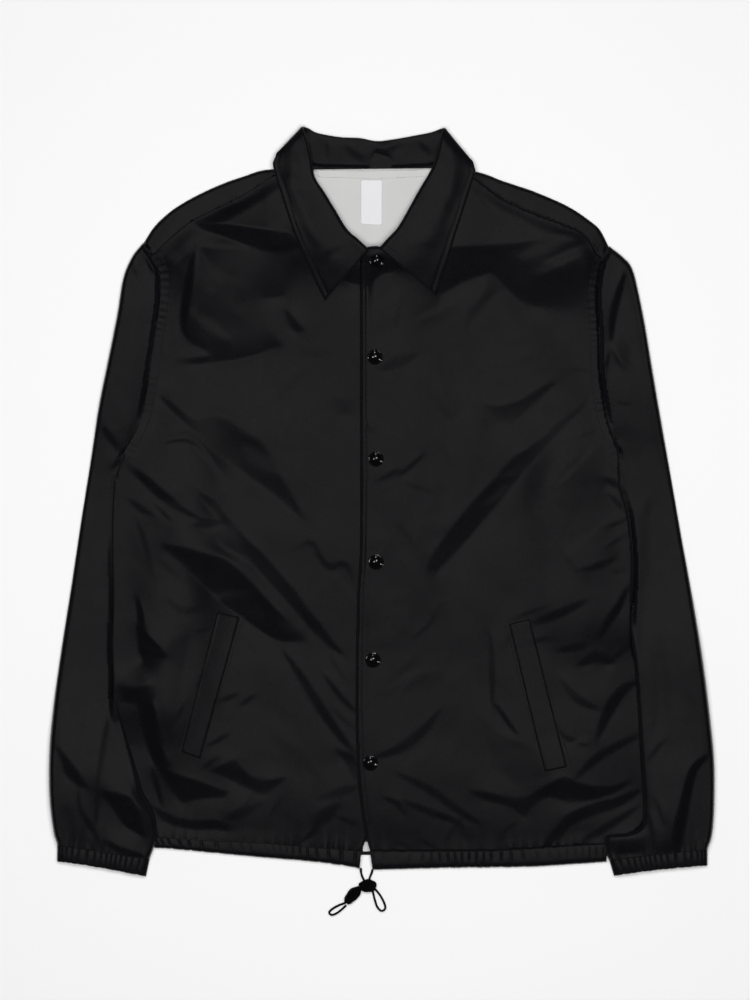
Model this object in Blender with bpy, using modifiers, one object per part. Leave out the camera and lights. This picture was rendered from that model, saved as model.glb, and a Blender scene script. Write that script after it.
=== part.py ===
"""Coach jacket laid flat, front up: shell panels, sleeves, collar, cuffs, drawcord hem and snaps.

Plan tables are written on a chart whose x runs right and y runs down, as a pattern lies on the cutting table.
One chart unit is UNIT metres. Heights and walls are real sizes in metres, and the table is at height 0.
The wearer's right is at the chart's left.
"""

import math

import bmesh
import bpy
from mathutils import Matrix, Vector
from mathutils.geometry import delaunay_2d_cdt, intersect_point_line

# Driving dimensions
BODY_LENGTH = 0.742
CHART_BODY_LENGTH = 720.0
UNIT = BODY_LENGTH / CHART_BODY_LENGTH
CHART_CENTRE_X = 381.85
CHART_CENTRE_Y = 501.225

WALL = 0.0012
SEAM_GAP = 0.0004
LAYER_GAP = 0.0006
TRIM_GAP = 0.0003
PUFF = 0.0018
SNAP_DIAMETER = 0.0160
SNAP_HEIGHT = 0.0034
SNAP_RIM = 0.0006
CORD_DIAMETER = 0.0022
CORD_STEP = 1.6
SLEEVE_EDGE = 0.0032
SLEEVE_CROWN = 0.0028
CUFF_HEIGHT = 0.0068
CUFF_WAVE = 0.0010
CUFF_SLOT = 0.0008
CUFF_GATHERS = 13
HEM_HEIGHT = 0.0026
HEM_WAVE = 0.0007
HEM_BACK = 0.0010
LINING_WALL = 0.0010
HEM_GATHERS = 18
COLLAR_WALL = 0.0013
COLLAR_SLOT = 0.0006
FALL_LIFT = COLLAR_WALL + SEAM_GAP
COLLAR_MIDDLE = 374.0
SLEEVE_LIFT = SLEEVE_EDGE + LAYER_GAP
SLEEVE_CLEARANCE = 0.0009

# Mesh spacings, in chart units
FRONT_SPACING = 19.5
BACK_SPACING = 34.0
SLEEVE_SPACING = 22.0
SMALL_SPACING = 14.0
RIM_INSET = 3.0

# Armhole and side edges, each row x, y
ARMHOLE_RIGHT = ((143, 243), (158, 268), (160, 296), (155, 334), (150, 368), (146, 394), (140, 422),
                 (124, 452))
ARMHOLE_LEFT = ((609, 246), (600, 270), (597, 296), (599, 334), (600, 368), (603, 395), (609, 424),
                (619, 450))
SIDE_RIGHT = ((114, 480), (112, 520), (112, 560), (113, 600), (112, 640), (113, 690), (113, 740),
              (119, 775), (135, 812))
SIDE_LEFT = ((621, 488), (629, 514), (633, 545), (634, 575), (633, 602), (633.5, 650), (648, 678), (655, 730),
             (650, 785), (632, 820))

# The shoulder outline, where the back folds over, and the forward seam on the front
SHOULDER_FOLD_RIGHT = ((143.7, 243), (155, 226), (170, 212), (185, 202), (200, 194), (215, 187), (230, 181),
                       (245, 176), (262, 170.5), (286, 168.5))
SHOULDER_FOLD_LEFT = ((608.3, 246), (600, 230), (590, 221), (575, 210.5), (560, 202.5), (545, 196), (530, 190),
                      (515, 185), (500, 180), (485, 174), (464, 169))
SHOULDER_SEAM_RIGHT = ((151.5, 256), (174, 235), (194, 220), (240, 197), (272, 177), (286, 172.5))
SHOULDER_SEAM_LEFT = ((603, 260), (584, 233), (562, 223), (538, 214), (505, 199), (474, 177), (464, 173))

# Necklines under the collar
NECK_BACK = ((313, 167.6), (345, 168.2), (375, 168.6), (405, 168), (436, 166.6))
NECK_RIGHT = ((299, 180), (309, 197), (321, 217), (333, 236), (345, 248), (360, 258))
NECK_LEFT = ((386, 250.5), (398, 247), (410, 239), (424, 225), (436, 205), (444, 189), (450, 180))

# Closing edges and the line where the casing starts
EDGE_LEFT = ((360, 250.5), (360, 400), (360, 540), (357, 602), (355.6, 708), (358, 780), (364, 830))
EDGE_RIGHT = ((394, 262), (395, 400), (395, 560), (393, 700), (390, 772), (376, 815))
CASING_RIGHT = ((151, 838.5), (182, 840), (256, 843), (310, 847.5), (361, 851.5))
CASING_LEFT = ((370.5, 852), (420, 852), (490, 851.5), (538, 849), (607, 845))
CASING_BACK = ((151, 838), (250, 839.5), (368, 840), (500, 839.5), (607, 840.5))
HEM_EDGE_RIGHT = ((155, 848), (182, 850), (256, 857), (305, 861), (338, 865), (360, 868.5))
HEM_EDGE_LEFT = ((372, 870), (392, 869.5), (450, 868), (525, 867), (570, 864.5), (606, 862))
HEM_EDGE_BACK = ((155, 847.5), (250, 852.5), (368, 855), (500, 854.5), (606, 853))

# Sleeve outlines: the outer edge from shoulder to cuff, and the inner edge from underarm to cuff
SLEEVE_OUT_RIGHT = ((143, 243), (132, 257), (123, 279), (117, 315), (108, 360), (99, 405), (90, 465),
                    (80.5, 525), (71.5, 585), (62, 645), (53.5, 705), (49.3, 750), (49.2, 795), (53, 830),
                    (57.2, 845))
SLEEVE_IN_RIGHT = ((124, 452), (136, 474), (152, 500), (158, 545), (152, 590), (134, 640), (111, 684),
                   (111, 740), (124, 760), (138, 794), (146, 822), (150, 858.2))
SLEEVE_OUT_LEFT = ((609, 246), (623, 257), (632, 268), (638, 290), (645, 325), (652, 367), (661, 420),
                   (671.5, 480), (682, 540), (693, 600), (703, 660), (710.5, 720), (714.5, 765), (714.3, 810),
                   (712, 836), (707.5, 849.2))
SLEEVE_IN_LEFT = ((619, 450), (606, 472), (590, 498), (586, 528), (600, 560), (618, 582), (635.5, 602),
                  (635.5, 650), (636.5, 680), (640, 750), (642, 806), (634, 824), (613, 837), (609, 859.6))

# Cuff outlines: the line that meets the sleeve and the open end, each from outer to inner edge
CUFF_TOP_RIGHT = ((57.2, 845.5), (78, 848.2), (100, 851.8), (126, 856.2), (150, 858.8))
CUFF_END_RIGHT = ((57, 861.5), (80, 864.5), (110, 869.5), (130, 873.5), (146, 876.5))
CUFF_TOP_LEFT = ((707.5, 849.8), (684, 851.8), (658, 854.5), (634, 857.3), (609, 860.3))
CUFF_END_LEFT = ((707.5, 865.5), (684, 867.5), (658, 870), (634, 873), (614, 876))

# Pocket welts, four corners each
WELT_RIGHT = ((217.6, 612), (239.7, 617), (200.3, 759), (181.6, 752))
WELT_LEFT = ((509, 624), (529.6, 619), (567, 767), (544.7, 772))

# Neck pieces
LINING = ((314, 169.5), (434, 168.2), (436, 186), (424, 200), (414, 218), (400, 238), (388, 249), (376, 256),
          (362, 251), (350, 244), (338, 232), (326, 213), (313, 194), (308, 180))
FACING = ((316, 170.2), (375, 171), (432, 169.2), (431, 176), (375, 178.5), (318, 177))
LABEL = ((361, 180), (382, 180), (382, 225), (361, 224))

SNAPS = ((377, 260.5), (375, 357), (376, 459), (376, 562), (373, 660), (370.5, 763))

# The drawcord, each row x, y and height, and its knots: centre x, y, width, length, height, turn in degrees
CORD_RIGHT = ((360.8, 868.2, 0.0026), (361.0, 872.0, 0.0016), (362.0, 876.0, 0.0012), (363.8, 880.0, 0.0012))
CORD_LEFT = ((372.4, 869.7, 0.0026), (371.8, 872.8, 0.0016), (370.4, 876.0, 0.0012), (369.4, 879.2, 0.0012))
LOOP_RIGHT = ((345.0, 903.1, 0.0012), (339.6, 905.0, 0.0012), (333.0, 908.6, 0.0012), (329.2, 912.2, 0.0012),
              (331.6, 915.0, 0.0012), (336.6, 913.4, 0.0012), (341.6, 909.6, 0.0012), (346.2, 905.4, 0.0012))
LOOP_LEFT = ((375.0, 889.0, 0.0012), (380.4, 895.8, 0.0012), (384.2, 903.0, 0.0012), (385.2, 908.6, 0.0012),
             (381.6, 911.0, 0.0012), (377.6, 907.6, 0.0012), (375.0, 900.6, 0.0012), (372.8, 891.4, 0.0012))
KNOTS = (("knot_main", 367.8, 885.6, 0.0186, 0.0138, 0.0056, 0.0),
         ("knot_tail", 352.9, 895.0, 0.0120, 0.0230, 0.0050, -42.0))

# Collar stations along the neck. Each row holds the fold's x and y, a point that the section runs to, the
# width of the fall, the width of the stand, the share of the lift onto the fronts and the turn in degrees:
# 0 with the fall on top, as on the fronts, and 180 with the fall beneath, as behind the neck
COLLAR = (
    (369, 249, 325, 301, 68.1, 24, 1.0, 0),
    (358, 239, 312, 274, 57.8, 26, 1.0, 0),
    (347, 229, 302, 252, 50.5, 26, 1.0, 0),
    (336, 211, 292, 227, 46.8, 26, 1.0, 0),
    (325, 193, 284, 203, 42.2, 24, 1.0, 0),
    (315, 177, 277, 181, 38.2, 20, 1.0, 0),
    (312, 160, 273, 166, 39.5, 14, 1.0, 0),
    (308, 143, 274, 159.5, 37.8, 12, 1.0, 0),
    (304.5, 132, 274.8, 157.5, 39.1, 12, 0.85, 40),
    (303.2, 127, 277.5, 155, 38.0, 12, 0.5, 90),
    (305.2, 127, 290, 161, 41.0, 20, 0.15, 140),
    (309, 128.5, 308, 166, 38.0, 34, 0.0, 180),
    (318, 133, 319, 166.8, 62.0, 33.8, 0.0, 180),
    (340, 137, 341, 167.4, 69.0, 30.4, 0.0, 180),
    (360, 138, 361, 167.8, 71.0, 29.8, 0.0, 180),
    (376, 141, 375.5, 168, 68.0, 27.0, 0.0, 180),
    (392, 139.5, 391, 167.6, 70.0, 28.1, 0.0, 180),
    (412, 136, 411, 167, 69.0, 31.0, 0.0, 180),
    (430, 132.5, 429, 166, 62.0, 33.5, 0.0, 180),
    (438.5, 129.5, 440, 165, 37.0, 33.0, 0.0, 180),
    (441.8, 128.5, 459, 160.5, 41.0, 20, 0.15, 140),
    (443.4, 128.5, 472.5, 163.5, 44.5, 12, 0.5, 90),
    (441, 136, 475, 167.5, 46.3, 12, 0.85, 40),
    (438.5, 147, 475.5, 170.5, 43.8, 12, 1.0, 0),
    (434, 163, 474, 177, 42.4, 16, 1.0, 0),
    (428, 175, 469, 192, 44.4, 22, 1.0, 0),
    (419, 190, 463, 211, 48.8, 24, 1.0, 0),
    (409, 208, 456, 233, 53.2, 26, 1.0, 0),
    (398, 227, 449, 256, 58.7, 26, 1.0, 0),
    (388, 238, 443, 274, 65.7, 26, 1.0, 0),
    (379, 248, 436, 295, 73.9, 24, 1.0, 0),
)

# Folds of the fronts: height in millimetres, reach across, then the points that the fold runs through
FOLDS_RIGHT = (
    (-1.3, 14, ((200, 232), (299, 243))),
    (-1.4, 12, ((194, 250), (188, 300), (186, 334))),
    (1.2, 13, ((168, 352), (206, 357), (244, 355), (276, 345))),
    (-1.4, 17, ((164, 400), (194, 426), (256, 471), (302, 516))),
    (1.5, 16, ((168, 425), (200, 452), (238, 494), (285, 545))),
    (-1.4, 17, ((198, 492), (240, 530), (272, 562), (300, 604), (336, 646))),
    (1.7, 16, ((176, 520), (228, 556), (276, 600), (318, 650))),
    (-1.5, 16, ((165, 549), (208, 577), (256, 611), (300, 638))),
    (-1.2, 11, ((288, 655), (305, 676), (324, 710), (346, 744))),
    (1.2, 14, ((150, 620), (168, 690), (172, 740))),
    (-1.4, 14, ((172, 772), (196, 784), (240, 764), (282, 782))),
    (1.3, 12, ((178, 802), (220, 806), (256, 796), (300, 788))),
    (-1.2, 10, ((152, 806), (178, 818), (226, 828))),
)
FOLDS_LEFT = (
    (1.4, 20, ((456, 226), (500, 222), (545, 212))),
    (-1.3, 14, ((453, 250), (504, 248), (540, 238))),
    (-1.2, 12, ((440, 296), (468, 279), (492, 273), (508, 288), (526, 306), (566, 320))),
    (1.2, 12, ((552, 262), (588, 250), (600, 262))),
    (-1.5, 20, ((590, 394), (560, 430), (524, 476), (490, 519), (462, 562))),
    (1.5, 18, ((594, 430), (560, 470), (520, 520), (480, 566))),
    (-1.1, 11, ((484, 404), (526, 396), (542, 384))),
    (-1.1, 10, ((538, 624), (560, 616), (582, 602))),
    (-1.4, 12, ((598, 734), (614, 700), (632, 686))),
    (-1.5, 15, ((528, 797), (560, 784), (600, 788), (630, 780))),
    (1.2, 12, ((560, 812), (600, 802), (634, 800))),
    (-1.2, 10, ((542, 860), (556, 838), (570, 814))),
    (-1.1, 10, ((488, 634), (490, 684), (496, 716))),
    (-1.2, 12, ((376, 756), (404, 744), (438, 712))),
    (-1.2, 11, ((406, 770), (437, 790), (474, 820))),
)
FOLDS_SLEEVE_RIGHT = (
    (1.2, 16, ((134, 300), (118, 380), (100, 470), (84, 560), (74, 650))),
    (-1.3, 10, ((112, 440), (108, 540), (104, 640))),
    (-1.6, 12, ((60, 752), (86, 785), (96, 840))),
    (1.4, 14, ((84, 730), (112, 780), (124, 836))),
)
FOLDS_SLEEVE_LEFT = (
    (-1.5, 10, ((622, 282), (612, 330), (606, 400))),
    (1.2, 16, ((630, 320), (642, 420), (660, 520), (676, 620))),
    (-1.6, 12, ((700, 758), (684, 780), (670, 828), (666, 848))),
    (1.3, 13, ((654, 700), (660, 770), (650, 830))),
)

CLOTH = ("black_nylon", (0.012, 0.012, 0.014, 1.0), 0.38)
TRIM = ("black_trim", (0.010, 0.010, 0.011, 1.0), 0.55)
PALE = ("pale_lining", (0.58, 0.58, 0.60, 1.0), 0.70)
LABEL_CLOTH = ("label_cloth", (0.75, 0.75, 0.78, 1.0), 0.75)
CAP = ("snap_cap", (0.008, 0.008, 0.009, 1.0), 0.12)


def clear_scene():
    """Removes what the scene holds."""
    for item in list(bpy.data.objects):
        bpy.data.objects.remove(item, do_unlink=True)


def material(finish):
    """One Principled material for each finish."""
    name, colour, roughness = finish
    found = bpy.data.materials.get(name)
    if found:
        return found
    made = bpy.data.materials.new(name)
    made.use_nodes = True
    shader = made.node_tree.nodes["Principled BSDF"]
    shader.inputs["Base Color"].default_value = colour
    shader.inputs["Roughness"].default_value = roughness
    return made


def place(x, y, z):
    """A chart point as a point in metres."""
    return Vector(((x - CHART_CENTRE_X) * UNIT, (CHART_CENTRE_Y - y) * UNIT, z))


def smooth(value, start, end):
    """0 at start, 1 at end and smooth between."""
    share = min(max((value - start) / (end - start), 0.0), 1.0)
    return share * share * (3.0 - 2.0 * share)


def segments(points):
    return zip(points[:-1], points[1:])


def nearest(x, y, points):
    """Distance to a chain of points, and the share of the chain's length where it is nearest."""
    here = Vector((x, y))
    total = sum((Vector(b) - Vector(a)).length for a, b in segments(points))
    best = (1e9, 0.0)
    run = 0.0
    for a, b in segments(points):
        start = Vector(a)
        end = Vector(b)
        foot, share = intersect_point_line(here, start, end)
        share = min(max(share, 0.0), 1.0)
        spot = start.lerp(end, share)
        gap = (here - spot).length
        length = (end - start).length
        if gap < best[0]:
            best = (gap, (run + share * length) / total)
        run += length
    return best


def at_y(points, y):
    """The x of a chain of points at height y on the chart."""
    for (xa, ya), (xb, yb) in segments(points):
        if ya <= y <= yb:
            return xa + (xb - xa) * (y - ya) / (yb - ya)
    return points[0][0] if y < points[0][1] else points[-1][0]


def along(points, share):
    """The point at a share of a chain's length."""
    lengths = [(Vector(b) - Vector(a)).length for a, b in segments(points)]
    want = share * sum(lengths)
    for (a, b), length in zip(segments(points), lengths):
        if want <= length + 1e-9:
            return Vector(a).lerp(Vector(b), want / length)
        want -= length
    return Vector(points[-1])


def folds(x, y, table):
    """The height that a table of folds adds at a point."""
    height = 0.0
    for rise, reach, points in table:
        gap, share = nearest(x, y, points)
        if gap < 2 * reach:
            ends = smooth(share, 0.0, 0.18) * smooth(share, 1.0, 0.82)
            height += rise * 0.001 * math.exp(-((gap / reach) ** 2) * 1.6) * (0.25 + 0.75 * ends)
    return height


def under_body(x, y):
    """How far the body is lifted by the sleeves tucked under its sides."""
    right = smooth(y, 404, 440) * smooth(y, 738, 692) * smooth(x, 212, 178)
    left = smooth(y, 404, 440) * smooth(y, 648, 606) * smooth(x, 536, 566)
    return SLEEVE_LIFT * max(right, left)


def back_low(x, y):
    """Underside of the back panel."""
    fall = FALL_LIFT * smooth(y, 256, 226) * smooth(x, 262, 286) * smooth(x, 486, 462)
    return fall + under_body(x, y)


def back_high(x, y):
    return back_low(x, y) + WALL


def highest(layer, x, y, reach=13.0):
    """The layer's greatest height close round a point, so that what lies on it clears its slopes."""
    around = ((0, 0), (reach, 0), (-reach, 0), (0, reach), (0, -reach))
    return max(layer(x + dx, y + dy) for dx, dy in around)


def front_puff(x, y):
    """Air between the back and the fronts: little along the edges, more inside."""
    side = min(x - at_y(ARMHOLE_RIGHT + SIDE_RIGHT, y), at_y(ARMHOLE_LEFT + SIDE_LEFT, y) - x)
    return PUFF * smooth(side, 0, 42) * smooth(y, 852, 822) * smooth(y, 176, 250)


def closing(x, y):
    """0 along the closing edges, where the fronts lie flat for the snaps, and 1 away from them."""
    right = smooth(x, 352, 330)
    left = smooth(x, 392, 420)
    return max(right, left)


def over_step(x):
    """How much the left front is raised where it lies on the right front."""
    return (WALL + LAYER_GAP) * smooth(x, 440, 414)


def front_low(x, y, table):
    """Underside of a front panel."""
    relief = folds(x, y, table) * closing(x, y)
    shelf = highest(back_high, x, y) + LAYER_GAP
    return shelf + max(front_puff(x, y) * (1.0 + relief / PUFF), 0.0)


def front_right_low(x, y):
    return front_low(x, y, FOLDS_RIGHT)


def front_left_low(x, y):
    return front_low(x, y, FOLDS_LEFT) + over_step(x)


def front_high(x, y):
    """Top of whichever front lies on top."""
    if x < EDGE_LEFT[0][0] - 4:
        return front_right_low(x, y) + WALL
    return front_left_low(x, y) + WALL


def body_edge_lift(x, y):
    """How far the sleeves are lifted where they lie on the body's sides."""
    if x < CHART_CENTRE_X:
        share = smooth(y, 696, 730) * smooth(x, 72, 96) * smooth(y, 859, 842)
    else:
        share = smooth(y, 606, 640) * smooth(x, 688, 664) * smooth(y, 862, 848)
    return (front_high(x, y) + SLEEVE_CLEARANCE) * share


def sleeve_low(x, y):
    return body_edge_lift(x, y)


def sleeve_high(x, y, outer, inner, table):
    """Top of a sleeve: thin where the body covers it and along its edges, crowned and folded between."""
    out_gap = abs(x - at_y(outer, y))
    in_gap = abs(x - at_y(inner, y)) if y > inner[0][1] else 40.0
    edge = min(out_gap, in_gap)
    right = x < CHART_CENTRE_X
    if right:
        hidden = smooth(y, 420, 440) * smooth(y, 716, 700) * smooth(x, 82, 98)
    else:
        hidden = smooth(y, 420, 440) * smooth(y, 626, 610) * smooth(x, 666, 650)
    crown = SLEEVE_CROWN + folds(x, y, table)
    return sleeve_low(x, y) + SLEEVE_EDGE + max(crown, 0.0) * smooth(edge, 0, 16) * (1.0 - hidden)


def sleeve_right_high(x, y):
    return sleeve_high(x, y, SLEEVE_OUT_RIGHT, SLEEVE_IN_RIGHT, FOLDS_SLEEVE_RIGHT)


def sleeve_left_high(x, y):
    return sleeve_high(x, y, SLEEVE_OUT_LEFT, SLEEVE_IN_LEFT, FOLDS_SLEEVE_LEFT)


def resample(outline, spacing):
    """The outline's corners, with points added so that none are further apart than the spacing."""
    points = []
    count = len(outline)
    for index in range(count):
        start = Vector(outline[index])
        end = Vector(outline[(index + 1) % count])
        pieces = max(1, math.ceil((end - start).length / spacing - 0.3))
        points += [start.lerp(end, step / pieces) for step in range(pieces)]
    return points


def inside(x, y, outline):
    """Whether a point is inside a closed outline."""
    result = False
    count = len(outline)
    for index in range(count):
        xa, ya = outline[index]
        xb, yb = outline[(index + 1) % count]
        if (ya > y) != (yb > y) and x < (xb - xa) * (y - ya) / (yb - ya) + xa:
            result = not result
    return result


def spread(outline, spacing, margin):
    """Staggered points inside an outline, clear of its edge."""
    ring = list(outline) + [outline[0]]
    xs = [point[0] for point in outline]
    ys = [point[1] for point in outline]
    rows = int((max(ys) - min(ys)) / (spacing * 0.866)) + 1
    columns = int((max(xs) - min(xs)) / spacing) + 2
    points = []
    for row in range(rows):
        y = min(ys) + (row + 0.5) * spacing * 0.866
        for column in range(columns):
            x = min(xs) + (column + 0.5 * (row % 2)) * spacing
            if inside(x, y, outline) and nearest(x, y, ring)[0] > margin:
                points.append(Vector((x, y)))
    return points


def triangles(outline, spacing, lines=()):
    """An outline filled with triangles; lines are chains of extra points that the triangles keep to."""
    rim = resample(outline, spacing)
    points = list(rim)
    edges = []
    for line in lines:
        first = len(points)
        points += line
        edges += [(first + step, first + step + 1) for step in range(len(line) - 1)]
    keep = [tuple(point) for point in rim]
    chains = [[tuple(point) for point in line] for line in lines]
    for point in spread(keep, spacing, spacing * 0.55):
        if all(nearest(point.x, point.y, chain)[0] > spacing * 0.5 for chain in chains):
            points.append(point)
    filled = delaunay_2d_cdt(points, edges, [list(range(len(rim)))], 1, 1e-5)
    return [tuple(vert) for vert in filled[0]], [tuple(face) for face in filled[2]]


def add_object(name, mesh, finish, collection):
    """One named object with its material in the jacket's collection."""
    mesh.materials.append(material(finish))
    made = bpy.data.objects.new(name, mesh)
    collection.objects.link(made)
    return made


def close_mesh(name, bm):
    """A mesh with its faces pointing out, from a closed bmesh."""
    bmesh.ops.recalc_face_normals(bm, faces=bm.faces)
    if bm.calc_volume(signed=True) < 0:
        bmesh.ops.reverse_faces(bm, faces=bm.faces)
    mesh = bpy.data.meshes.new(name)
    bm.to_mesh(mesh)
    bm.free()
    return mesh


def cloth_panel(name, outline, spacing, low, finish, collection, wall=WALL):
    """A cut panel: its outline filled, laid at the height low, and extruded upward by the wall."""
    plan, faces = triangles(outline, spacing)
    mesh = bpy.data.meshes.new(name)
    mesh.from_pydata([place(x, y, low(x, y)) for x, y in plan], [], faces)
    bm = bmesh.new()
    bm.from_mesh(mesh)
    bpy.data.meshes.remove(mesh)
    raised = bmesh.ops.extrude_face_region(bm, geom=bm.faces[:], use_keep_orig=True)
    tops = [item for item in raised["geom"] if isinstance(item, bmesh.types.BMVert)]
    bmesh.ops.translate(bm, verts=tops, vec=(0.0, 0.0, wall))
    return add_object(name, close_mesh(name, bm), finish, collection)


def inset_chain(points, distance):
    """A chain moved to its right-hand side by a distance."""
    moved = []
    for index, point in enumerate(points):
        before = Vector(points[max(index - 1, 0)])
        after = Vector(points[min(index + 1, len(points) - 1)])
        run = (after - before).normalized()
        moved.append(Vector(point) + Vector((-run.y, run.x)) * distance)
    return moved


def tube_panel(name, armhole, inner, cuff, outer, low, high, finish, collection):
    """A flattened tube, open along the armhole and the cuff line and closed along its inner and outer edges."""
    turn = 1.0 if armhole[0][0] < CHART_CENTRE_X else -1.0
    closed = [resample_chain(inner, SLEEVE_SPACING), resample_chain(outer, SLEEVE_SPACING)]
    corners = [(armhole[-2], inner[0], inner[-1], cuff[0]), (cuff[-1], outer[0], outer[-1], armhole[1])]
    walls = []
    for chain, (before, first, last, after) in zip(closed, corners):
        start = Vector(first) + (Vector(before) - Vector(first)).normalized() * RIM_INSET * 1.2
        end = Vector(last) + (Vector(after) - Vector(last)).normalized() * RIM_INSET * 1.2
        walls.append([start] + inset_chain(chain, RIM_INSET * turn)[1:-1] + [end])
    outline = [walls[1][-1]] + list(armhole[1:-1]) + [walls[0][0]] + list(inner) + [walls[0][-1]]
    outline += list(cuff) + [walls[1][0]] + list(outer)
    plan, faces = triangles(outline, SLEEVE_SPACING, walls)
    in_rim = []
    for face in faces:
        x = sum(plan[index][0] for index in face) / 3
        y = sum(plan[index][1] for index in face) / 3
        in_rim.append(min(nearest(x, y, chain)[0] for chain in closed) < RIM_INSET * 0.9)
    bm = bmesh.new()
    levels = {}

    def vertex(index, level):
        if (index, level) not in levels:
            x, y = plan[index]
            bottom = low(x, y)
            top = high(x, y)
            height = (bottom, bottom + WALL, top - WALL, top)[level]
            levels[(index, level)] = bm.verts.new(place(x, y, height))
        return levels[(index, level)]

    hollow_points = {index for face, rim in zip(faces, in_rim) if not rim for index in face}
    sides = {}
    for face, rim in zip(faces, in_rim):
        for level in ((0, 3) if rim else (0, 1, 2, 3)):
            bm.faces.new([vertex(index, level) for index in face])
        for a, b in ((face[0], face[1]), (face[1], face[2]), (face[2], face[0])):
            sides.setdefault(frozenset((a, b)), []).append(rim)
    for side, rims in sides.items():
        a, b = tuple(side)
        if len(rims) == 2 and rims[0] != rims[1]:
            bm.faces.new([vertex(a, 1), vertex(b, 1), vertex(b, 2), vertex(a, 2)])
        if len(rims) == 1 and not rims[0]:
            bm.faces.new([vertex(a, 0), vertex(b, 0), vertex(b, 1), vertex(a, 1)])
            bm.faces.new([vertex(a, 2), vertex(b, 2), vertex(b, 3), vertex(a, 3)])
        if len(rims) == 1 and rims[0]:
            up = [vertex(b, level) for level in ((0, 1, 2, 3) if b in hollow_points else (0, 3))]
            down = [vertex(a, level) for level in ((3, 2, 1, 0) if a in hollow_points else (3, 0))]
            bm.faces.new(up + down)
    bmesh.ops.triangulate(bm, faces=bm.faces)
    return add_object(name, close_mesh(name, bm), finish, collection)


def resample_chain(points, spacing):
    """A chain's corners, with points added between them."""
    result = []
    for start, end in segments(points):
        pieces = max(1, math.ceil((Vector(end) - Vector(start)).length / spacing - 0.3))
        result += [Vector(start).lerp(Vector(end), step / pieces) for step in range(pieces)]
    return result + [Vector(points[-1])]


def loft(name, rings, finish, collection):
    """Closed sections joined one to the next, the first and the last filled."""
    bm = bmesh.new()
    rows = [[bm.verts.new(point) for point in ring] for ring in rings]
    count = len(rows[0])
    for row, after in zip(rows[:-1], rows[1:]):
        for index in range(count):
            other = (index + 1) % count
            bm.faces.new([row[index], row[other], after[other], after[index]])
    bm.faces.new(rows[0])
    bm.faces.new(rows[-1])
    bmesh.ops.triangulate(bm, faces=bm.faces)
    return add_object(name, close_mesh(name, bm), finish, collection)


def hem_casing(name, upper, lower, shelf, gathers, collection):
    """A casing strip whose top rises and falls with its gathers."""
    columns = gathers * 2 + 1
    rings = []
    for column in range(columns):
        share = column / (columns - 1)
        start = along(upper, share)
        end = along(lower, share)
        wave = HEM_WAVE * (1 if column % 2 else -1) * (0.75 + 0.25 * math.sin(column * 2.3))
        height = HEM_HEIGHT + wave
        ring = []
        for part, rise in ((0.05, 0.55), (0.5, 1.0), (0.95, 0.55)):
            spot = start.lerp(end, part)
            ring.append(place(spot.x, spot.y, shelf(spot.x, spot.y) + height * rise))
        for part in (0.95, 0.05):
            spot = start.lerp(end, part)
            ring.append(place(spot.x, spot.y, shelf(spot.x, spot.y)))
        rings.append(ring)
    return loft(name, rings, CLOTH, collection)


def cuff_tube(name, top, end, gathers, shelf, collection):
    """A gathered elastic tube: outer and inner rings joined at the sleeve line and at the open end."""
    columns = gathers * 2
    room = 2 * WALL + CUFF_SLOT
    rows = ((0.03, 0.9), (0.5, 1.0), (1.0, 0.92))
    outer = []
    inner = []
    for part, swell in rows:
        upper = []
        lower = []
        upper_in = []
        lower_in = []
        for column in range(columns + 1):
            share = column / columns
            spot = along(top, share).lerp(along(end, share), part)
            nearer = along(top, 0.5).lerp(along(end, 0.5), part)
            edge = smooth(min(share, 1 - share), 0.0, 0.16)
            wave = CUFF_WAVE * (1 if column % 2 else -1) * (0.8 + 0.2 * math.sin(column * 1.9))
            base = shelf(spot.x, spot.y)
            height = room + (CUFF_HEIGHT * swell - room + wave) * edge
            drawn = spot.lerp(nearer, WALL / UNIT / max((spot - nearer).length, 1.5) if edge < 0.01 else 0.0)
            upper.append(place(spot.x, spot.y, base + height))
            lower.append(place(spot.x, spot.y, base))
            upper_in.append(place(drawn.x, drawn.y, base + height - WALL))
            lower_in.append(place(drawn.x, drawn.y, base + WALL))
        outer.append(upper + lower[::-1])
        inner.append(upper_in + lower_in[::-1])
    rings = outer + inner[::-1] + [outer[0]]
    bm = bmesh.new()
    rows_made = [[bm.verts.new(point) for point in ring] for ring in rings[:-1]]
    rows_made.append(rows_made[0])
    count = len(rows_made[0])
    for row, after in zip(rows_made[:-1], rows_made[1:]):
        for index in range(count):
            other = (index + 1) % count
            bm.faces.new([row[index], row[other], after[other], after[index]])
    bmesh.ops.triangulate(bm, faces=bm.faces)
    return add_object(name, close_mesh(name, bm), CLOTH, collection)


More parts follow.
